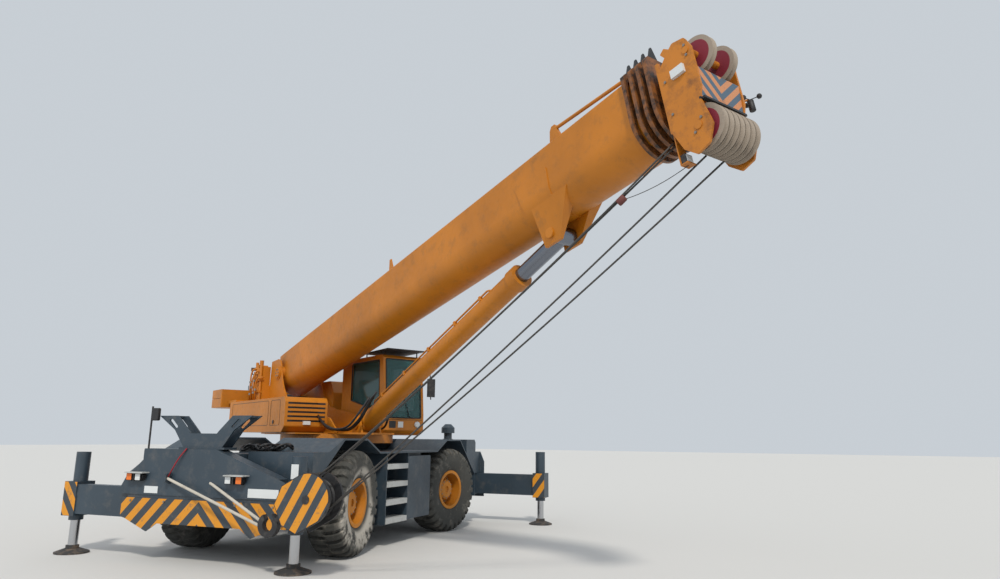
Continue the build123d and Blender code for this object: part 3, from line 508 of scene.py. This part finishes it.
def near(tree, along, up, centre, radius):
    """1 within a radius of the axis through (L, n) = centre."""
    first = math_node(tree, "POWER", math_node(tree, "SUBTRACT", along, centre[0]), 2.0)
    second = math_node(tree, "POWER", math_node(tree, "SUBTRACT", up, centre[1]), 2.0)
    return math_node(tree, "LESS_THAN", math_node(tree, "ADD", first, second), radius ** 2)


def overlay(material, masks):
    """Colours laid over a paint's own, each where its mask is 1."""
    tree, shader = node_chain(material)
    colour = shader.inputs["Base Color"].links[0].from_socket
    for mask, second in masks:
        colour = mix_colour(tree, mask, colour, second)
    tree.links.new(colour, shader.inputs["Base Color"])


def rust_colour(tree, place):
    """Dark rust with brighter streaks."""
    patch = ramp(tree, noise(tree, place, 8.0, 8.0, 0.7), 0.42, 0.60)
    return mix_colour(tree, patch, (0.24, 0.085, 0.02), (0.030, 0.018, 0.013))


def collar_paint(name, low, high):
    material = painted(name, AMBER, dirt=AMBER_DIRT, amount=0.55, shade=0.76)
    tree = material.node_tree
    place = object_coordinates(tree)
    along = boom_place(tree, place, 0)
    ring = between(tree, along, low, high)
    fins = math_node(tree, "MULTIPLY", ring, between(tree, boom_place(tree, place, 2), FIN_FOOT, FIN_REACH))
    overlay(material, [(ring, rust_colour(tree, place)), (fins, FIN_BLACK)])
    return material


def head_paint():
    """Amber stained with rust, its lower cross bar black."""
    material = painted("head_paint", (0.56, 0.19, 0.012), dirt=(0.16, 0.06, 0.02), amount=0.7, shade=0.8)
    tree = material.node_tree
    place = object_coordinates(tree)
    stains = math_node(tree, "MULTIPLY", ramp(tree, noise(tree, place, 2.6, 9.0, 0.72), 0.55, 0.68), 0.8)
    bar = math_node(tree, "MULTIPLY", between(tree, boom_place(tree, place, 2), *BAR_HEIGHT),
                    between(tree, boom_place(tree, place, 0), *BAR_LENGTH))
    overlay(material, [(stains, rust_colour(tree, place)), (bar, FIN_BLACK)])
    return material


def sheave_paint():
    """Tan rims with red hubs on the upper and the lower axis."""
    material = painted("sheave_paint", (0.34, 0.28, 0.22), dirt=(0.13, 0.10, 0.08), amount=0.7, roughness=0.6)
    tree = material.node_tree
    place = object_coordinates(tree)
    along = boom_place(tree, place, 0)
    up = boom_place(tree, place, 2)
    overlay(material, [(near(tree, along, up, UPPER_SHEAVE, UPPER_HUB), HUB_RED),
                       (near(tree, along, up, LOWER_SHEAVE, LOWER_HUB), HUB_RED)])
    return material


def jack_paint():
    """Chrome above the float, dark worn steel on it: colour, metal and roughness follow the height."""
    material = plain_material("jack_chrome", (0.8, 0.8, 0.8), 0.2, 1.0)
    tree, shader = node_chain(material)
    place = object_coordinates(tree)
    height = dot(tree, place, (0, 0, 1))
    low = math_node(tree, "LESS_THAN", height, FLOAT_TOP)
    dirt = ramp(tree, noise(tree, place, 9.0, 6.0), 0.45, 0.65)
    worn = mix_colour(tree, dirt, (0.035, 0.034, 0.034), (0.15, 0.11, 0.08))
    tree.links.new(mix_colour(tree, low, (0.50, 0.51, 0.53), worn), shader.inputs["Base Color"])
    tree.links.new(math_node(tree, "SUBTRACT", 1.0, low), shader.inputs["Metallic"])
    rough = math_node(tree, "MULTIPLY", low, 0.6)
    tree.links.new(math_node(tree, "ADD", rough, 0.18), shader.inputs["Roughness"])
    return material


COLLAR_L = 10.400
COLLAR_PITCH = 0.110
COLLAR_RING = 0.052
LAST_RING = 0.2
collars = []
for k in range(4):
    foot = COLLAR_L + COLLAR_PITCH * k
    width = COLLAR_RING if k < 3 else LAST_RING
    collars.append(collar_paint(f"collar_paint_{k}", foot - 0.004, foot + width))
head_amber = head_paint()
sheave_red = sheave_paint()
jack_chrome = jack_paint()

# %% [markdown]
# Each CAD node gets its material here; the table's first column is the material.

# %% Materials of the CAD nodes
WEAR = (
    (grey, "chassis_frame outrigger_boxes deck_and_fenders front_body boom_rest rear_body air_intake "
           "side_cabinets slew_ring axles knuckle_fl knuckle_fr knuckle_rl knuckle_rr "
           "beam_fl beam_fr beam_rl beam_rr bumper engine ladders"),
    (amber, "turntable counterweight right_housing left_tank valve_stack cab_shell cab_door boom_pin "
            "lift_pin boom_section_4 lift_barrel"),
    (collars[0], "boom_base"),
    (collars[1], "boom_section_1"),
    (collars[2], "boom_section_2"),
    (collars[3], "boom_section_3"),
    (head_amber, "boom_head"),
    (rim_paint, "rim_fl rim_fr rim_rl rim_rr"),
    (rubber, "tyre_fl tyre_fr tyre_rl tyre_rr"),
    (jack_chrome, "jack_fl jack_fr jack_rl jack_rr"),
    (chrome, "lift_rod"),
    (black, "mirror_pole sunshade winch front_lamps hook_block"),
    (glass, "cab_glass door_glass"),
    (seat_cloth, "cab_seat"),
    (sling_white, "slings"),
    (sheave_red, "head_sheaves"),
)
for material, names in WEAR:
    for name in names.split():
        mesh = nodes[name].data
        mesh.materials.clear()
        mesh.materials.append(material)

# %% [markdown]
# Tyres. The carcass is a closed profile (r, a) smoothed by cutting its corners twice (Chaikin), turned
# about the wheel's axis. The tread is raised by
# h(t, a) = H S(|a|) S(r) L(frac(t / P + k |a| + side / 2)), with S and L smooth steps, so that lugs
# slant from the middle to the shoulder and alternate left and right. The rise follows the profile's
# normal, with its sideways part taken smaller, so that the tyre stays as wide as its CAD solid.

# %% Tyres with their lugs
LUGS = 30
LUG_HEIGHT = 0.0555
AROUND = LUGS * 14
LUG_SLANT = 1.2
LUG_RISE = (0.16, 0.24)
LUG_FALL = (0.80, 0.88)
SIDEWAYS = 0.4
CARCASS = [(0.333, 0.21), (0.378, 0.226), (0.41, 0.257), (0.56, 0.300), (0.67, 0.290), (0.722, 0.258),
           (0.750, 0.205), (0.752, 0.10)]


def smooth_step(value, low, high):
    t = np.clip((value - low) / (high - low), 0.0, 1.0)
    return t * t * (3 - 2 * t)


def chaikin(points, rounds=2):
    """Corner cutting: each edge pq gives (3p + q) / 4 and (p + 3q) / 4."""
    for _ in range(rounds):
        following = np.roll(points, -1, axis=0)
        points = np.stack([0.75 * points + 0.25 * following, 0.25 * points + 0.75 * following], 1)
        points = points.reshape(-1, 2)
    return points


def tyre_shape():
    """Points and faces of a lugged tyre about its axis, with the share of mud at each point."""
    half = np.array(CARCASS)
    profile = chaikin(np.vstack([half, half[::-1] * (1, -1)]), 2)
    following = np.roll(profile, -1, axis=0) - np.roll(profile, 1, axis=0)
    normal = np.stack([-following[:, 1], following[:, 0]], 1)
    normal /= np.linalg.norm(normal, axis=1)[:, None]
    r, a = profile.T
    turn = np.linspace(0, 2 * math.pi, AROUND, endpoint=False)[:, None]
    phase = turn * LUGS / (2 * math.pi) + LUG_SLANT * np.abs(a) + 0.5 * (a > 0)
    within = np.mod(phase, 1.0)
    lug = smooth_step(within, *LUG_RISE) * (1 - smooth_step(within, *LUG_FALL))
    tread = smooth_step(np.abs(a), 0.012, 0.03) * smooth_step(r, 0.635, 0.700)
    height = LUG_HEIGHT * lug * tread
    radius = r + height * np.abs(normal[:, 0])
    place = a + SIDEWAYS * height * np.sign(a) * np.abs(normal[:, 1])
    points = np.stack([radius * np.cos(turn), place + 0 * turn, -radius * np.sin(turn)], -1)
    columns = len(r)
    faces = grid_faces(AROUND, columns, True)
    i = np.arange(AROUND)
    k = (i + 1) % AROUND
    closing = np.stack([i * columns + columns - 1, k * columns + columns - 1, k * columns, i * columns], 1)
    mud = (smooth_step(r, 0.40, 0.46) * (1 - smooth_step(r, 0.70, 0.76)) * (a > 0)
           * smooth_step(np.sin(turn + 0.6) + 0.5 * np.sin(3 * turn + 1.0) + 9 * (0.6 - r), -0.4, 0.4))
    return points.reshape(-1, 3), np.vstack([faces, closing]).tolist(), mud.ravel()


def muddy_rubber():
    """Rubber with pale dried mud where the mesh's mud attribute and a noise agree."""
    material = painted("muddy_rubber", RUBBER, dirt=RUBBER_DIRT, amount=0.9, roughness=0.88)
    tree, shader = node_chain(material)
    attribute = tree.nodes.new("ShaderNodeAttribute")
    attribute.attribute_name = "mud"
    patch = ramp(tree, noise(tree, object_coordinates(tree), 4.0, 8.0, 0.65), 0.40, 0.50)
    amount = math_node(tree, "MULTIPLY", attribute.outputs["Fac"], patch)
    current = shader.inputs["Base Color"].links[0].from_socket
    mixed = mix_colour(tree, amount, current, (0.42, 0.39, 0.34))
    tree.links.new(mixed, shader.inputs["Base Color"])
    return material


muddy = muddy_rubber()
tyre_points, tyre_faces, tyre_mud = tyre_shape()
for name, matrix in WHEELS.items():
    tyre = add_piece(f"lugged_tyre_{name}", moved(matrix, tyre_points), tyre_faces, f"wheel_{name}",
                     muddy if name == "fl" else rubber)
    tyre.data.attributes.new("mud", "FLOAT", "POINT").data.foreach_set("value", tyre_mud)
    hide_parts(f"tyre_{name}")
print("tyre points", len(tyre_points))

# %% [markdown]
# Sixteen wheel nuts and twelve hub bolts stand on circles about each wheel's axis.

# %% Wheel nuts and hub bolts
NUT_CIRCLE = 0.262
NUTS = 16
HUB_CIRCLE = 0.168
HUB_BOLTS = 12


def ring_places(radius, place, count):
    """Places evenly round a circle about Y, at one place along it."""
    angle = np.linspace(0, 2 * math.pi, count, endpoint=False)
    return np.stack([radius * np.cos(angle), np.full(count, place), radius * np.sin(angle)], 1)


for name, matrix in WHEELS.items():
    nuts = bolts(ring_places(NUT_CIRCLE, 0.002, NUTS), (0, 1, 0), 0.019, 0.024)
    covers = bolts(ring_places(HUB_CIRCLE, 0.138, HUB_BOLTS), (0.45, 1, 0), 0.011, 0.012)
    points, faces = joined([nuts, covers])
    add_piece(f"wheel_nuts_{name}", moved(matrix, points), faces, f"wheel_{name}", steel)

# %% [markdown]
# Carrier details: chevrons on the bumper, pale ladder treads, lamps on their shelves and bare plates.

# %% Carrier details
YELLOW = (0.62, 0.245, 0.008)
STRIPE_GREY = (0.034, 0.044, 0.054)
BUMPER_PITCH = 0.31
HOUSING_PITCH = 0.22
chevron_front = striped("chevron_front", (0, 0, 1), BUMPER_PITCH, YELLOW, STRIPE_GREY, 0.15,
                        fold=(slew[1], (0, 1, 0), 1.0))
slanted = striped("slanted_stripes", (0, 0.80, 0.60), HOUSING_PITCH, YELLOW, STRIPE_GREY, 0.1)
slanted_back = striped("slanted_stripes_back", (0, -0.80, 0.60), HOUSING_PITCH, YELLOW, STRIPE_GREY, 0.1)
nodes["bumper"].data.materials.clear()
nodes["bumper"].data.materials.append(chevron_front)

FACE_X = 3.462
STEPS = (0.47, 0.77, 1.07, 1.37)
TREAD_FROM = 0.074
TREAD_TO = 0.826
LAMP_SHELF_Y = (-1.16, 0.69)


def carrier_piece(name, shape, material, smooth=False, body="carrier"):
    points, faces = shape
    add_piece(name, moved(CARRIER, points), faces, body, material, smooth)


treads = []
for side in (1, -1):
    for z in STEPS:
        y = sorted((side * 1.296, side * 1.583))
        treads.append(cuboid((TREAD_FROM, y[0], z - 0.037), (TREAD_TO, y[1], z + 0.002)))
        lip = sorted((side * 1.580, side * 1.586))
        treads.append(cuboid((TREAD_FROM, lip[0], z - 0.085), (TREAD_TO, lip[1], z + 0.003)))
carrier_piece("ladder_treads", joined(treads), tread_steel)

shelves = [cuboid((3.45, y - 0.172, 1.260), (3.602, y + 0.172, 1.277)) for y in LAMP_SHELF_Y]
carrier_piece("lamp_shelves", joined(shelves), tread_steel)

LAMPS = (("white", 0.565, white_plastic), ("orange", 0.755, orange_plastic),
         ("orange_right", -1.285, orange_plastic), ("white_right", -1.115, white_plastic))
for label, y, material in LAMPS:
    lens = cuboid((3.530, y - 0.046, 1.160), (3.556, y + 0.046, 1.252))
    frame_bars = [cuboid((3.49, y - 0.056, z), (3.550, y + 0.056, z + 0.010)) for z in (1.150, 1.252)]
    frame_bars += [cuboid((3.49, y + step, 1.150), (3.550, y + step + 0.010, 1.262))
                   for step in (-0.056, 0.046)]
    carrier_piece(f"lamp_lens_{label}", lens, material)
    carrier_piece(f"lamp_frame_{label}", joined(frame_bars), hose_black)

plates = [cuboid((FACE_X, -1.05, 0.975), (FACE_X + 0.004, -0.79, 1.075)),
          cuboid((FACE_X, 0.86, 0.975), (FACE_X + 0.004, 1.38, 1.095))]
carrier_piece("blank_plates", joined(plates), white_plastic)
carrier_piece("jack_plate", cuboid((3.373, 1.500, 1.24), (3.379, 1.620, 1.44)), white_plastic, body="beam_fl")

# %% [markdown]
# A red strap hangs down in front of the front body, and hydraulic hoses lie in loops on the
# deck, each an uneven ring with a slow drift, one turn after another.

# %% Strap and loose hoses
add_tube("red_strap", CARRIER, [(3.475, -0.30, 1.63), (3.50, -0.42, 1.48), (3.52, -0.56, 1.22)], 0.010,
         "carrier", red_strap, 0.1)


def hose_loops(centre, wide, deep, turns, drift, seed):
    """Path of a loose coil: centre + (a (1 + 0.15 sin 1.7 t) cos t, b sin t,
    0.03 + 0.035 (1 + sin(2.3 t + seed))) + drift (t - seed) / 2 pi."""
    t = np.linspace(seed, seed + turns * 2 * math.pi, int(28 * turns))
    rise = 0.03 + 0.035 * (1 + np.sin(2.3 * t + seed))
    points = np.stack([wide * (1 + 0.15 * np.sin(1.7 * t)) * np.cos(t), deep * np.sin(t), rise], 1)
    return points + centre + (t - t[0])[:, None] / (2 * math.pi) * np.array(drift)


for number, (centre, wide, deep, turns, drift, seed) in enumerate((
        ((2.72, 0.50, 1.575), 0.20, 0.13, 3.2, (0.02, 0.05, 0.01), 0.4),
        ((2.60, 0.72, 1.575), 0.16, 0.12, 2.6, (0.03, 0.04, 0.015), 2.1),
        ((2.80, 0.30, 1.575), 0.13, 0.16, 2.4, (-0.02, 0.05, 0.01), 4.0))):
    path = hose_loops(np.array(centre), wide, deep, turns, drift, seed)
    points, faces = tube_shape(path, 0.017, 8)
    carrier_piece(f"loose_hose_{number}", (points, faces), hose_black, True)

# %% [markdown]
# Bolt heads stand on the front face, round the air intake and round the slewing ring's fixed half.

# %% Bolts of the carrier
RING_BOLTS = 48
RING_CIRCLE = 0.622
rows = [bolts([(FACE_X, y, 0.86) for y in (-1.3, -0.65, 0.65, 1.3)], (1, 0, 0), 0.016),
        bolts([(-3.20 + 0.11 * math.cos(a), 0.85 + 0.11 * math.sin(a), 1.802)
               for a in np.linspace(0, 2 * math.pi, 8, endpoint=False)], (0, 0, 1), 0.010)]
ring_angle = np.linspace(0, 2 * math.pi, RING_BOLTS, endpoint=False)
rows.append(bolts(np.stack([RING_CIRCLE * np.cos(ring_angle), RING_CIRCLE * np.sin(ring_angle),
                            np.full(RING_BOLTS, 1.600)], 1), (0, 0, 1), 0.011))
carrier_piece("carrier_bolts", joined(rows), steel)

# %% [markdown]
# The hook block's cheeks carry slanted stripes. The outline is the CAD cheek's, drawn in a little: a half
# circle (c + r cos t, r sin t) and four corners.

# %% Hook block's striped cheeks
CHEEK = 0.325
CROWN = 0.085
FOOT = -0.41


def d_outline(shrink):
    """The cheek's outline about the block's centre: a half circle and four corners, drawn in a little."""
    radius = CHEEK - shrink
    arc = np.linspace(math.pi / 2, -math.pi / 2, 25)
    crown = np.stack([CROWN + radius * np.cos(arc), radius * np.sin(arc)], 1)
    foot = np.array([(-0.245, -CHEEK + shrink), (FOOT + shrink, -0.12), (FOOT + shrink, 0.155),
                     (-0.2, CHEEK - shrink)])
    return np.vstack([crown, foot])


BLOCK_TILT = math.radians(28.0)
BLOCK = np.eye(4)
BLOCK[:3, 0] = (0, math.cos(BLOCK_TILT), math.sin(BLOCK_TILT))
BLOCK[:3, 1] = (-1, 0, 0)
BLOCK[:3, 2] = (0, -math.sin(BLOCK_TILT), math.cos(BLOCK_TILT))
BLOCK[:3, 3] = moved(CARRIER, [(3.76, 2.11, 1.0)])[0]
lean = BLOCK[:3, :3] @ np.array((0.533, 0, -0.846))
block_stripes = striped("block_stripes", lean, 0.20, YELLOW, STRIPE_GREY, 0.35)
cheeks = [prism_shape(d_outline(0.012), low, low + 0.003) for low in (-0.1735, 0.1705)]
points, faces = joined(cheeks)
add_piece("block_cheek_stripes", moved(BLOCK, points), faces, "carrier", block_stripes)

# %% [markdown]
# Each outrigger's end housing has striped faces fore and aft, mirrored from side to side.

# %% Striped jack housings
# Each entry: the housing's middle (x, y) and its side
HOUSING = {"fl": (3.27, 1.56, 1), "fr": (3.27, -2.61, -1), "rl": (-3.70, 2.90, 1), "rr": (-3.70, -2.61, -1)}
for name, (x, y, side) in HOUSING.items():
    inner, outer = y - side * 0.128, y + side * 0.138
    faces_of = [cuboid((x + 0.1602, min(inner, outer), 0.575), (x + 0.1625, max(inner, outer), 1.085)),
                cuboid((x - 0.1625, min(inner, outer), 0.575), (x - 0.1602, max(inner, outer), 1.085))]
    carrier_piece(f"housing_stripes_{name}", joined(faces_of), slanted_back if side > 0 else slanted,
                  body=f"beam_{name}")

# %% [markdown]
# Upper structure: the louvre's slots as black plates of painted shade, door seams, a lamp, and the lift
# cylinder's hoses. Three come out of the right housing and one from the left, and all run low and rise to the
# barrel.

# %% Upper structure details
def upper_piece(name, shape, material, smooth=False, body="upper"):
    points, faces = shape
    add_piece(name, moved(UPPER, points), faces, body, material, smooth)


SLOTS = 5
SLOT_LOW = 2.080
SLOT_PITCH = 0.078
SLOT_HEIGHT = 0.034
# The slots are thin black plates: painted shade in the louvre's openings.
slots = []
for k in range(SLOTS):
    z = SLOT_LOW + SLOT_PITCH * k
    slots.append(cuboid((0.4695, -1.131, z), (0.4755, -0.559, z + SLOT_HEIGHT)))
    for start, end in ((-1.196, -1.110), (-0.640, -0.492)):
        slots.append(cuboid((0.4990, start, z), (0.5015, end, z + SLOT_HEIGHT)))
upper_piece("louvre_slot_shade", joined(slots), hose_black)


def seam(name, corners, closed=True):
    """A thin dark line through the corners, back to the first one when closed."""
    corners = [*corners, corners[0]] if closed else corners
    add_tube(name, UPPER, corners, 0.004, "upper", hose_black, 0.05, 6)


seam("housing_door_seam", [(-2.55, -1.25, 2.02), (-0.35, -1.25, 2.02), (-0.35, -1.25, 2.47),
                           (-2.55, -1.25, 2.47)])
seam("housing_side_door", [(-0.22, -1.25, 2.02), (0.26, -1.25, 2.02), (0.26, -1.25, 2.47),
                           (-0.22, -1.25, 2.47)])
seam("tank_seam", [(-2.7, 1.201, 2.1), (-1.45, 1.201, 2.1), (-1.45, 1.201, 2.7), (-2.7, 1.201, 2.7)])
upper_piece("housing_lamp", cuboid((0.49, -0.905, 2.03), (0.535, -0.775, 2.095)), white_plastic)
plug, plug_faces = disc_shape(0.035, 0.0, 0.012, 0.003)
plug = moved(upright((-0.05, -1.25, 2.08), (0, -1, 0)), plug)
upper_piece("housing_plug", (plug, plug_faces), hose_black, True)

HOSES = (
    [(0.49, -0.50, 2.06), (0.70, -0.47, 1.98), (1.00, -0.40, 1.935), (1.30, -0.34, 1.945),
     (1.50, -0.27, 2.10), (1.66, -0.205, 2.36), (1.82, -0.185, 2.52)],
    [(0.49, -0.58, 2.12), (0.76, -0.55, 1.97), (1.05, -0.46, 1.935), (1.36, -0.38, 1.96), (1.56, -0.30, 2.14),
     (1.74, -0.235, 2.42), (1.92, -0.195, 2.58)],
    [(0.49, -0.62, 2.20), (0.80, -0.62, 2.02), (1.10, -0.52, 1.94), (1.40, -0.44, 1.99), (1.58, -0.36, 2.20),
     (1.66, -0.27, 2.38), (1.70, -0.21, 2.50)],
    [(0.45, 0.34, 1.93), (0.95, 0.36, 1.95), (1.3, 0.33, 2.00), (1.55, 0.26, 2.22), (1.72, 0.195, 2.46)],
)
for number, route in enumerate(HOSES):
    add_tube(f"lift_hose_{number}", UPPER, route, 0.020, "upper", hose_black, 0.16)
BOOM_PIN = (-2.20, 0, 3.17)
pin_bolts = [bolts(ring_places(0.075, 0.4851, 6) * (1, side, 1) + BOOM_PIN, (0, side, 0), 0.014, 0.012)
             for side in (1, -1)]
upper_piece("boom_pin_bolts", joined(pin_bolts), steel, body="boom_pin")

# %% [markdown]
# Pipes climb the stack behind the boom's foot and bend over it, with unions on them and an arm that
# reaches back; one pipe follows the lift cylinder's barrel.

# %% Pipes on the stack and on the cylinder
STACK_Y = -0.74
for number, (s, top) in enumerate(((-3.135, 3.17), (-3.03, 3.05), (-2.90, 3.12), (-2.79, 2.96))):
    route = [(s, STACK_Y, 2.56), (s, STACK_Y, top), (s + 0.07, -0.72, top + 0.12),
             (s + 0.15, -0.62, top + 0.13)]
    add_tube(f"stack_pipe_{number}", UPPER, route, 0.017, "upper", amber, 0.08)
unions = []
for s, z in ((-3.135, 2.72), (-3.135, 2.98), (-3.03, 2.86), (-2.90, 2.74), (-2.90, 3.00), (-2.79, 2.80)):
    points, faces = prism_shape([(0.027 * x, 0.027 * y) for x, y in HEX], z, z + 0.045, axis=2)
    unions.append((points + (s, STACK_Y, 0), faces))
upper_piece("stack_unions", joined(unions), steel)
# Each row: name, route, radius, material, bend
for name, route, radius, material, bend in (
        ("stack_arm", [(-3.10, -0.56, 3.20), (-3.35, -0.57, 3.16), (-3.55, -0.58, 3.22),
                       (-3.66, -0.56, 3.30)], 0.012, hose_black, 0.08),
        ("stack_loop", [(-3.16, -0.62, 3.02), (-3.34, -0.64, 3.05), (-3.42, -0.64, 2.94),
                        (-3.36, -0.64, 2.82), (-3.17, -0.62, 2.80)], 0.014, hose_black, 0.09),
        ("stack_rail", [(-3.19, -0.66, 2.70), (-3.50, -0.66, 2.72), (-3.50, -0.66, 2.95)],
         0.008, black, 0.03)):
    add_tube(name, UPPER, route, radius, "upper", material, bend)
tees = [cuboid((s - 0.03, -0.575, z - 0.025), (s + 0.03, -0.505, z + 0.045))
        for s, z in ((-3.66, 3.332), (-3.45, 3.318), (-3.24, 3.305))]
upper_piece("stack_tees", joined(tees), rust)

add_tube("barrel_pipe", LIFT, [(0.55, -0.080, 0.105), (0.60, -0.115, 0.130), (4.20, -0.115, 0.130),
                               (4.25, -0.080, 0.105)], 0.014, "lift_barrel", amber, 0.04)
clips = [cuboid((x - 0.02, -0.135, 0.080), (x + 0.02, -0.085, 0.150)) for x in (0.9, 1.7, 2.5, 3.3, 4.0)]
points, faces = joined(clips)
add_piece("barrel_clips", moved(LIFT, points), faces, "lift_barrel", amber)

# %% [markdown]
# Cab trim. The front wall leans, x = 0.930 - 0.1019 (z - 2.25) above the panel, so that the rubber and
# the wiper follow that line.

# %% Cab trim
CAB_FRONT = 0.930
CAB_LEAN = 0.1019
PANEL_TOP = 2.25
SCREEN_Z = (2.190, 3.300)
SCREEN_Y = (0.540, 1.280)


def cab_face(z):
    """Place of the cab's front wall at a height."""
    return CAB_FRONT - CAB_LEAN * max(z - PANEL_TOP, 0.0)


def cab_frame(name, corners, radius=0.012):
    add_tube(name, UPPER, [*corners, corners[0]], radius, "upper", hose_black, 0.04, 8)


cab_frame("side_window_rubber", [(-0.495, 0.478, 2.555), (0.735, 0.478, 2.305), (0.675, 0.478, 3.285),
                                 (-0.495, 0.478, 3.285)])
cab_frame("windscreen_rubber", [(cab_face(SCREEN_Z[k]) + 0.001, SCREEN_Y[j], SCREEN_Z[k])
                                for j, k in ((0, 0), (1, 0), (1, 1), (0, 1))])
add_tube("cab_grab_rail", UPPER, [(0.74, 1.338, 2.2), (0.74, 1.40, 2.22), (0.70, 1.40, 2.98),
                                  (0.70, 1.338, 3.0)], 0.012, "upper", black, 0.03)
add_tube("cab_mirror_arm", UPPER, [(0.85, 1.335, 3.10), (1.00, 1.42, 3.06), (1.00, 1.45, 2.55)],
         0.010, "upper", black, 0.05)
upper_piece("cab_mirror", cuboid((0.985, 1.37, 2.60), (1.02, 1.53, 2.95)), black)
add_tube("cab_wiper", UPPER, [(0.946, 1.02, 2.20), (cab_face(2.5) + 0.012, 0.93, 2.50),
                              (cab_face(2.86) + 0.008, 0.84, 2.86)], 0.008, "upper", hose_black, 0.02, 8)
lens, lens_faces = lathe([(0.0, 0.040), (0.035, 0.036), (0.055, 0.024), (0.060, 0.0), (0.0, 0.0)], 28)
lens = moved(upright((CAB_FRONT, 1.20, 2.07), (1, 0, 0)), lens)
upper_piece("cab_headlamp", (lens, lens_faces), white_plastic, True)
upper_piece("cab_dark_plate", cuboid((0.929, 0.60, 2.00), (0.934, 0.74, 2.13)), hose_black)
upper_piece("cab_pale_plate", cuboid((0.929, 0.79, 2.01), (0.934, 0.90, 2.12)), white_plastic)
seam("cab_panel_seam", [(-0.9, 0.479, 2.36), (0.88, 0.479, 2.04)], closed=False)
seam("cab_lower_seam", [(0.931, 0.52, 2.155), (0.931, 1.30, 2.155)], closed=False)

# %% [markdown]
# Boom. The head's chevron plate lies on the sloping sign plate between the cheeks, with V-shaped bands;
# a lamp, a work lamp and a wind gauge sit on the head.

# %% Boom details
def boom_piece(name, shape, material, body, smooth=False):
    points, faces = shape
    add_piece(name, moved(BOOM, points), faces, body, material, smooth)


across_boom = BOOM[:3, 1]
chevron_head = striped("chevron_head", BOOM[:3, 2], 0.165, (0.55, 0.235, 0.105), (0.075, 0.12, 0.17), 0.30,
                       fold=(float(BOOM[:3, 3] @ across_boom), across_boom, -0.85))
SIGN_HALF = 0.343
sign = prism_shape([(11.2756, -0.352), (11.3126, -0.002), (11.3146, -0.002), (11.2776, -0.352)],
                   -SIGN_HALF, SIGN_HALF)
boom_piece("head_chevrons", sign, chevron_head, "section_4")
boom_piece("head_lamp", cuboid((11.03, -0.415, 0.01), (11.19, -0.375, 0.105)), white_plastic, "section_4")

bracket = [cuboid((10.852, -0.345, -0.90), (10.865, -0.215, -0.50)),
           cuboid((10.852, -0.345, -0.912), (10.945, -0.215, -0.899))]
boom_piece("work_lamp_bracket", joined(bracket), head_amber, "section_4")
boom_piece("work_lamp", cuboid((10.866, -0.335, -0.898), (10.928, -0.225, -0.800)), black, "section_4")
boom_piece("work_lamp_glass", cuboid((10.928, -0.325, -0.888), (10.934, -0.235, -0.810)), white_plastic,
           "section_4")

GAUGE = (11.28, 0.56)
CUP_HEIGHT = -0.075
CUP_REACH = 0.10
add_tube("gauge_arm", BOOM, [(11.16, 0.373, -0.04), (11.17, 0.50, -0.05), (*GAUGE, -0.08)], 0.012,
         "section_4", head_amber, 0.05)
body_points, body_faces = disc_shape(0.035, -0.10, 0.03, 0.004)
body_points = moved(upright((*GAUGE, -0.12), (0, 0, 1)), body_points)
boom_piece("gauge_body", (body_points, body_faces), black, "section_4", True)
cups = []
for turn in (0.4, 2.5, 4.6):
    middle = (GAUGE[0] + CUP_REACH * math.cos(turn), GAUGE[1] + CUP_REACH * math.sin(turn), CUP_HEIGHT)
    cup = lathe([(0.0, -0.030), (0.021, -0.021), (0.030, 0.0), (0.021, 0.021), (0.0, 0.030)], 16)
    cups.append((moved(upright(middle, (0, 0, 1)), cup[0]), cup[1]))
    arm = tube_shape([(*GAUGE, CUP_HEIGHT), middle], 0.005, 6)
    cups.append(arm)
boom_piece("gauge_cups", joined(cups), black, "section_4")
HEAD_BOLTS = ((11.245, 0.30), (11.245, 0.18), (11.13, -0.69), (11.23, -0.57), (10.93, 0.05), (10.93, -0.35))
head_bolts = bolts([(x, -0.3755, n) for x, n in HEAD_BOLTS], (0, -1, 0), 0.016)
boom_piece("head_bolts", head_bolts, steel, "section_4")

# %% [markdown]
# Ropes hang from the head to the hook block. Each is S + t (E - S) less 4 s t (1 - t) in height, a shallow
# parabola whose sag s was read off the photograph. They are drawn as they hang at rest and ride on the
# carrier, so they don't follow the boom when it slews, luffs or telescopes.

# %% Ropes
ROPE = 0.011
WIRE = 0.004
ROPES = (
    ((10.80, -0.300, -0.600), (0.25, -0.09, 0.20), 0.10),
    ((10.80, -0.270, -0.620), (0.27, -0.06, 0.17), 0.05),
    ((11.03, -0.130, -0.828), (0.21, 0.00, -0.21), 0.05),
    ((11.04, 0.140, -0.832), (0.22, 0.05, -0.20), 0.07),
)


def hanging(start, end, sag, count=26):
    """Points of a shallow hanging rope."""
    t = np.linspace(0, 1, count)[:, None]
    path = start + t * (end - start)
    path[:, 2:] -= 4 * sag * t * (1 - t)
    return path


for number, (top, foot, sag) in enumerate(ROPES):
    path = hanging(moved(BOOM, [top])[0], moved(BLOCK, [foot])[0], sag)
    points, faces = tube_shape(path, ROPE, 8)
    add_piece(f"hoist_rope_{number}", points, faces, "carrier", rope_steel, smooth=True)
    if number == 0:
        weight = path[3] + (0, 0, -0.045)
        way = path[4] - path[2]
points, faces = disc_shape(0.042, -0.05, 0.05, 0.008)
add_piece("limit_weight", moved(upright(weight, way), points), faces, "carrier", weight_red, True)
path = hanging(moved(BOOM, [(10.90, -0.28, -0.912)])[0], weight, 0.04, 12)
points, faces = tube_shape(path, WIRE, 6)
add_piece("limit_wire", points, faces, "carrier", rope_steel, smooth=True)
add_tube("winch_rope", BOOM, [(-0.55, 0.05, -0.30), (-0.45, 0.05, 0.50), (0.4, 0.05, 0.50), (9.1, 0.05, 0.52),
                              (10.40, 0.05, 0.537)], ROPE, "boom", rope_steel, 0.3)
